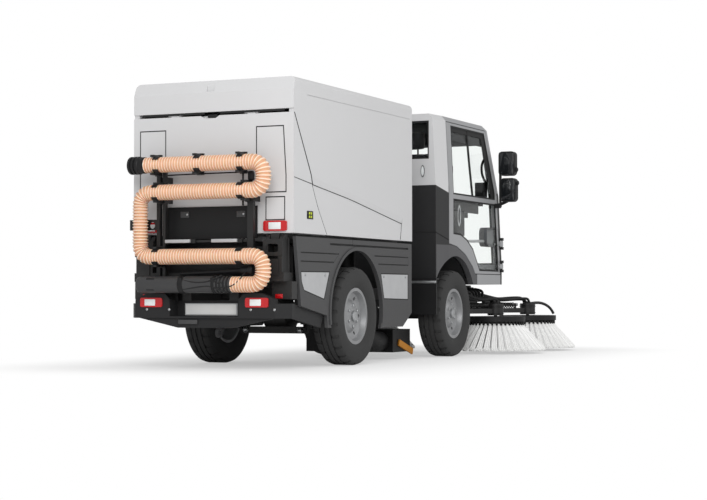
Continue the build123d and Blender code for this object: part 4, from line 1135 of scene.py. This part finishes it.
class SWEEPER_OT_stage(bpy.types.Operator):
    """Pale floor, soft light and the camera"""
    bl_idname = "sweeper.stage"
    bl_label = "Stage"

    def floor(self):
        """A floor that takes the object's shadow and is white beyond it."""
        clear()
        bpy.ops.mesh.primitive_plane_add(size=120, location=(0, 0, -0.002))
        floor = bpy.context.object
        floor.name = "floor"
        material = bpy.data.materials.new("pale_studio_floor")
        material.use_nodes = True
        tree = material.node_tree
        tree.nodes.clear()
        spot = add(tree, "ShaderNodeTexCoord")

        def vector(how, first, second=(0.0, 0.0, 0.0)):
            return add(tree, "ShaderNodeVectorMath", {1: second}, {0: first}, operation=how).outputs

        # The floor's own shading shows close round the object and fades to plain white further out
        size = vector("ABSOLUTE", spot.outputs["Object"])[0]
        past = vector("MAXIMUM", vector("SUBTRACT", size, (2.4, 0.6, 0.0))[0])[0]
        away = vector("LENGTH", past)["Value"]
        fade = {"From Min": 0.1, "From Max": 1.5, "To Min": 0.45, "To Max": 1.0}
        share = add(tree, "ShaderNodeMapRange", fade, {"Value": away}, interpolation_type="SMOOTHSTEP")
        part = add(tree, "ShaderNodeMath", {}, {0: in_view(tree), 1: share.outputs["Result"]},
                   operation="MULTIPLY").outputs[0]
        white = add(tree, "ShaderNodeEmission", {"Color": (1, 1, 1, 1), "Strength": 1.0}).outputs[0]
        matt = add(tree, "ShaderNodeBsdfDiffuse", {"Color": linear("F4F4F4")}).outputs[0]
        both = add(tree, "ShaderNodeMixShader", {}, {0: part, 1: matt, 2: white})
        add(tree, "ShaderNodeOutputMaterial", {}, {"Surface": both.outputs[0]})
        floor.data.materials.append(material)

    def execute(self, context):
        self.floor()
        world = bpy.data.worlds.new("soft_studio")
        context.scene.world = world
        world.use_nodes = True
        tree = world.node_tree
        tree.nodes.clear()
        sky, backdrop = [
            add(tree, "ShaderNodeBackground", {"Color": (1, 1, 1, 1), "Strength": strength}).outputs[0]
            for strength in (0.55, 1.0)]
        both = add(tree, "ShaderNodeMixShader", {}, {0: in_view(tree), 1: sky, 2: backdrop})
        add(tree, "ShaderNodeOutputWorld", {}, {"Surface": both.outputs[0]})
        # Place, aim, size and power of each soft lamp
        for name, place, aim, size, power in (
            ("key", (-10, -4.5, 5.5), (-1.5, 0, 1.0), 6, 600), ("fill", (3, -10, 5), (0.5, 0, 0.9), 6, 190),
        ):
            clear()
            bpy.ops.object.light_add(type="AREA", location=place)
            lamp = context.object
            lamp.name = name
            lamp.data.size = size
            lamp.data.energy = power
            lamp.rotation_euler = (Vector(aim) - Vector(place)).to_track_quat("-Z", "Y").to_euler()
        clear()
        # Camera as fitted to the photograph
        turn = (radians(91.485), 0, radians(24.75 - 90))
        bpy.ops.object.camera_add(location=(-12.849, -5.823, 0.511), rotation=turn)
        camera = context.object
        camera.data.lens = 87.56
        camera.data.sensor_width = 36
        context.scene.camera = camera
        context.scene.view_settings.view_transform = "Standard"
        return {"FINISHED"}


OPERATORS = (
    SWEEPER_OT_finishes, SWEEPER_OT_hose, SWEEPER_OT_hose_clips, SWEEPER_OT_tyres, SWEEPER_OT_hubs,
    SWEEPER_OT_bristles, SWEEPER_OT_lamps, SWEEPER_OT_mirrors, SWEEPER_OT_window_seals,
    SWEEPER_OT_door_trim, SWEEPER_OT_roof_lining, SWEEPER_OT_seats, SWEEPER_OT_fasteners,
    SWEEPER_OT_rear_trim, SWEEPER_OT_side_seams, SWEEPER_OT_wand_fittings, SWEEPER_OT_brush_gear,
    SWEEPER_OT_mouth_flap, SWEEPER_OT_cab_trim, SWEEPER_OT_stage,
)


class SWEEPER_PT_panel(bpy.types.Panel):
    """The sweeper's colours, sizes and steps"""
    bl_label = "Street sweeper"
    bl_idname = "SWEEPER_PT_panel"
    bl_space_type = "VIEW_3D"
    bl_region_type = "UI"
    bl_category = "Sweeper"

    def draw(self, context):
        for name in SweeperLook.__annotations__:
            self.layout.prop(look(), name)
        for step in OPERATORS:
            self.layout.operator(step.bl_idname)


CLASSES = (SweeperLook, *OPERATORS, SWEEPER_PT_panel)


def register():
    for kind in CLASSES:
        bpy.utils.register_class(kind)
    bpy.types.Scene.sweeper_look = bpy.props.PointerProperty(type=SweeperLook)


def unregister():
    del bpy.types.Scene.sweeper_look
    for kind in reversed(CLASSES):
        bpy.utils.unregister_class(kind)


def main():
    register()
    for step in OPERATORS:
        group, name = step.bl_idname.split(".")
        getattr(getattr(bpy.ops, group), name)()


if __name__ == "__main__":
    main()
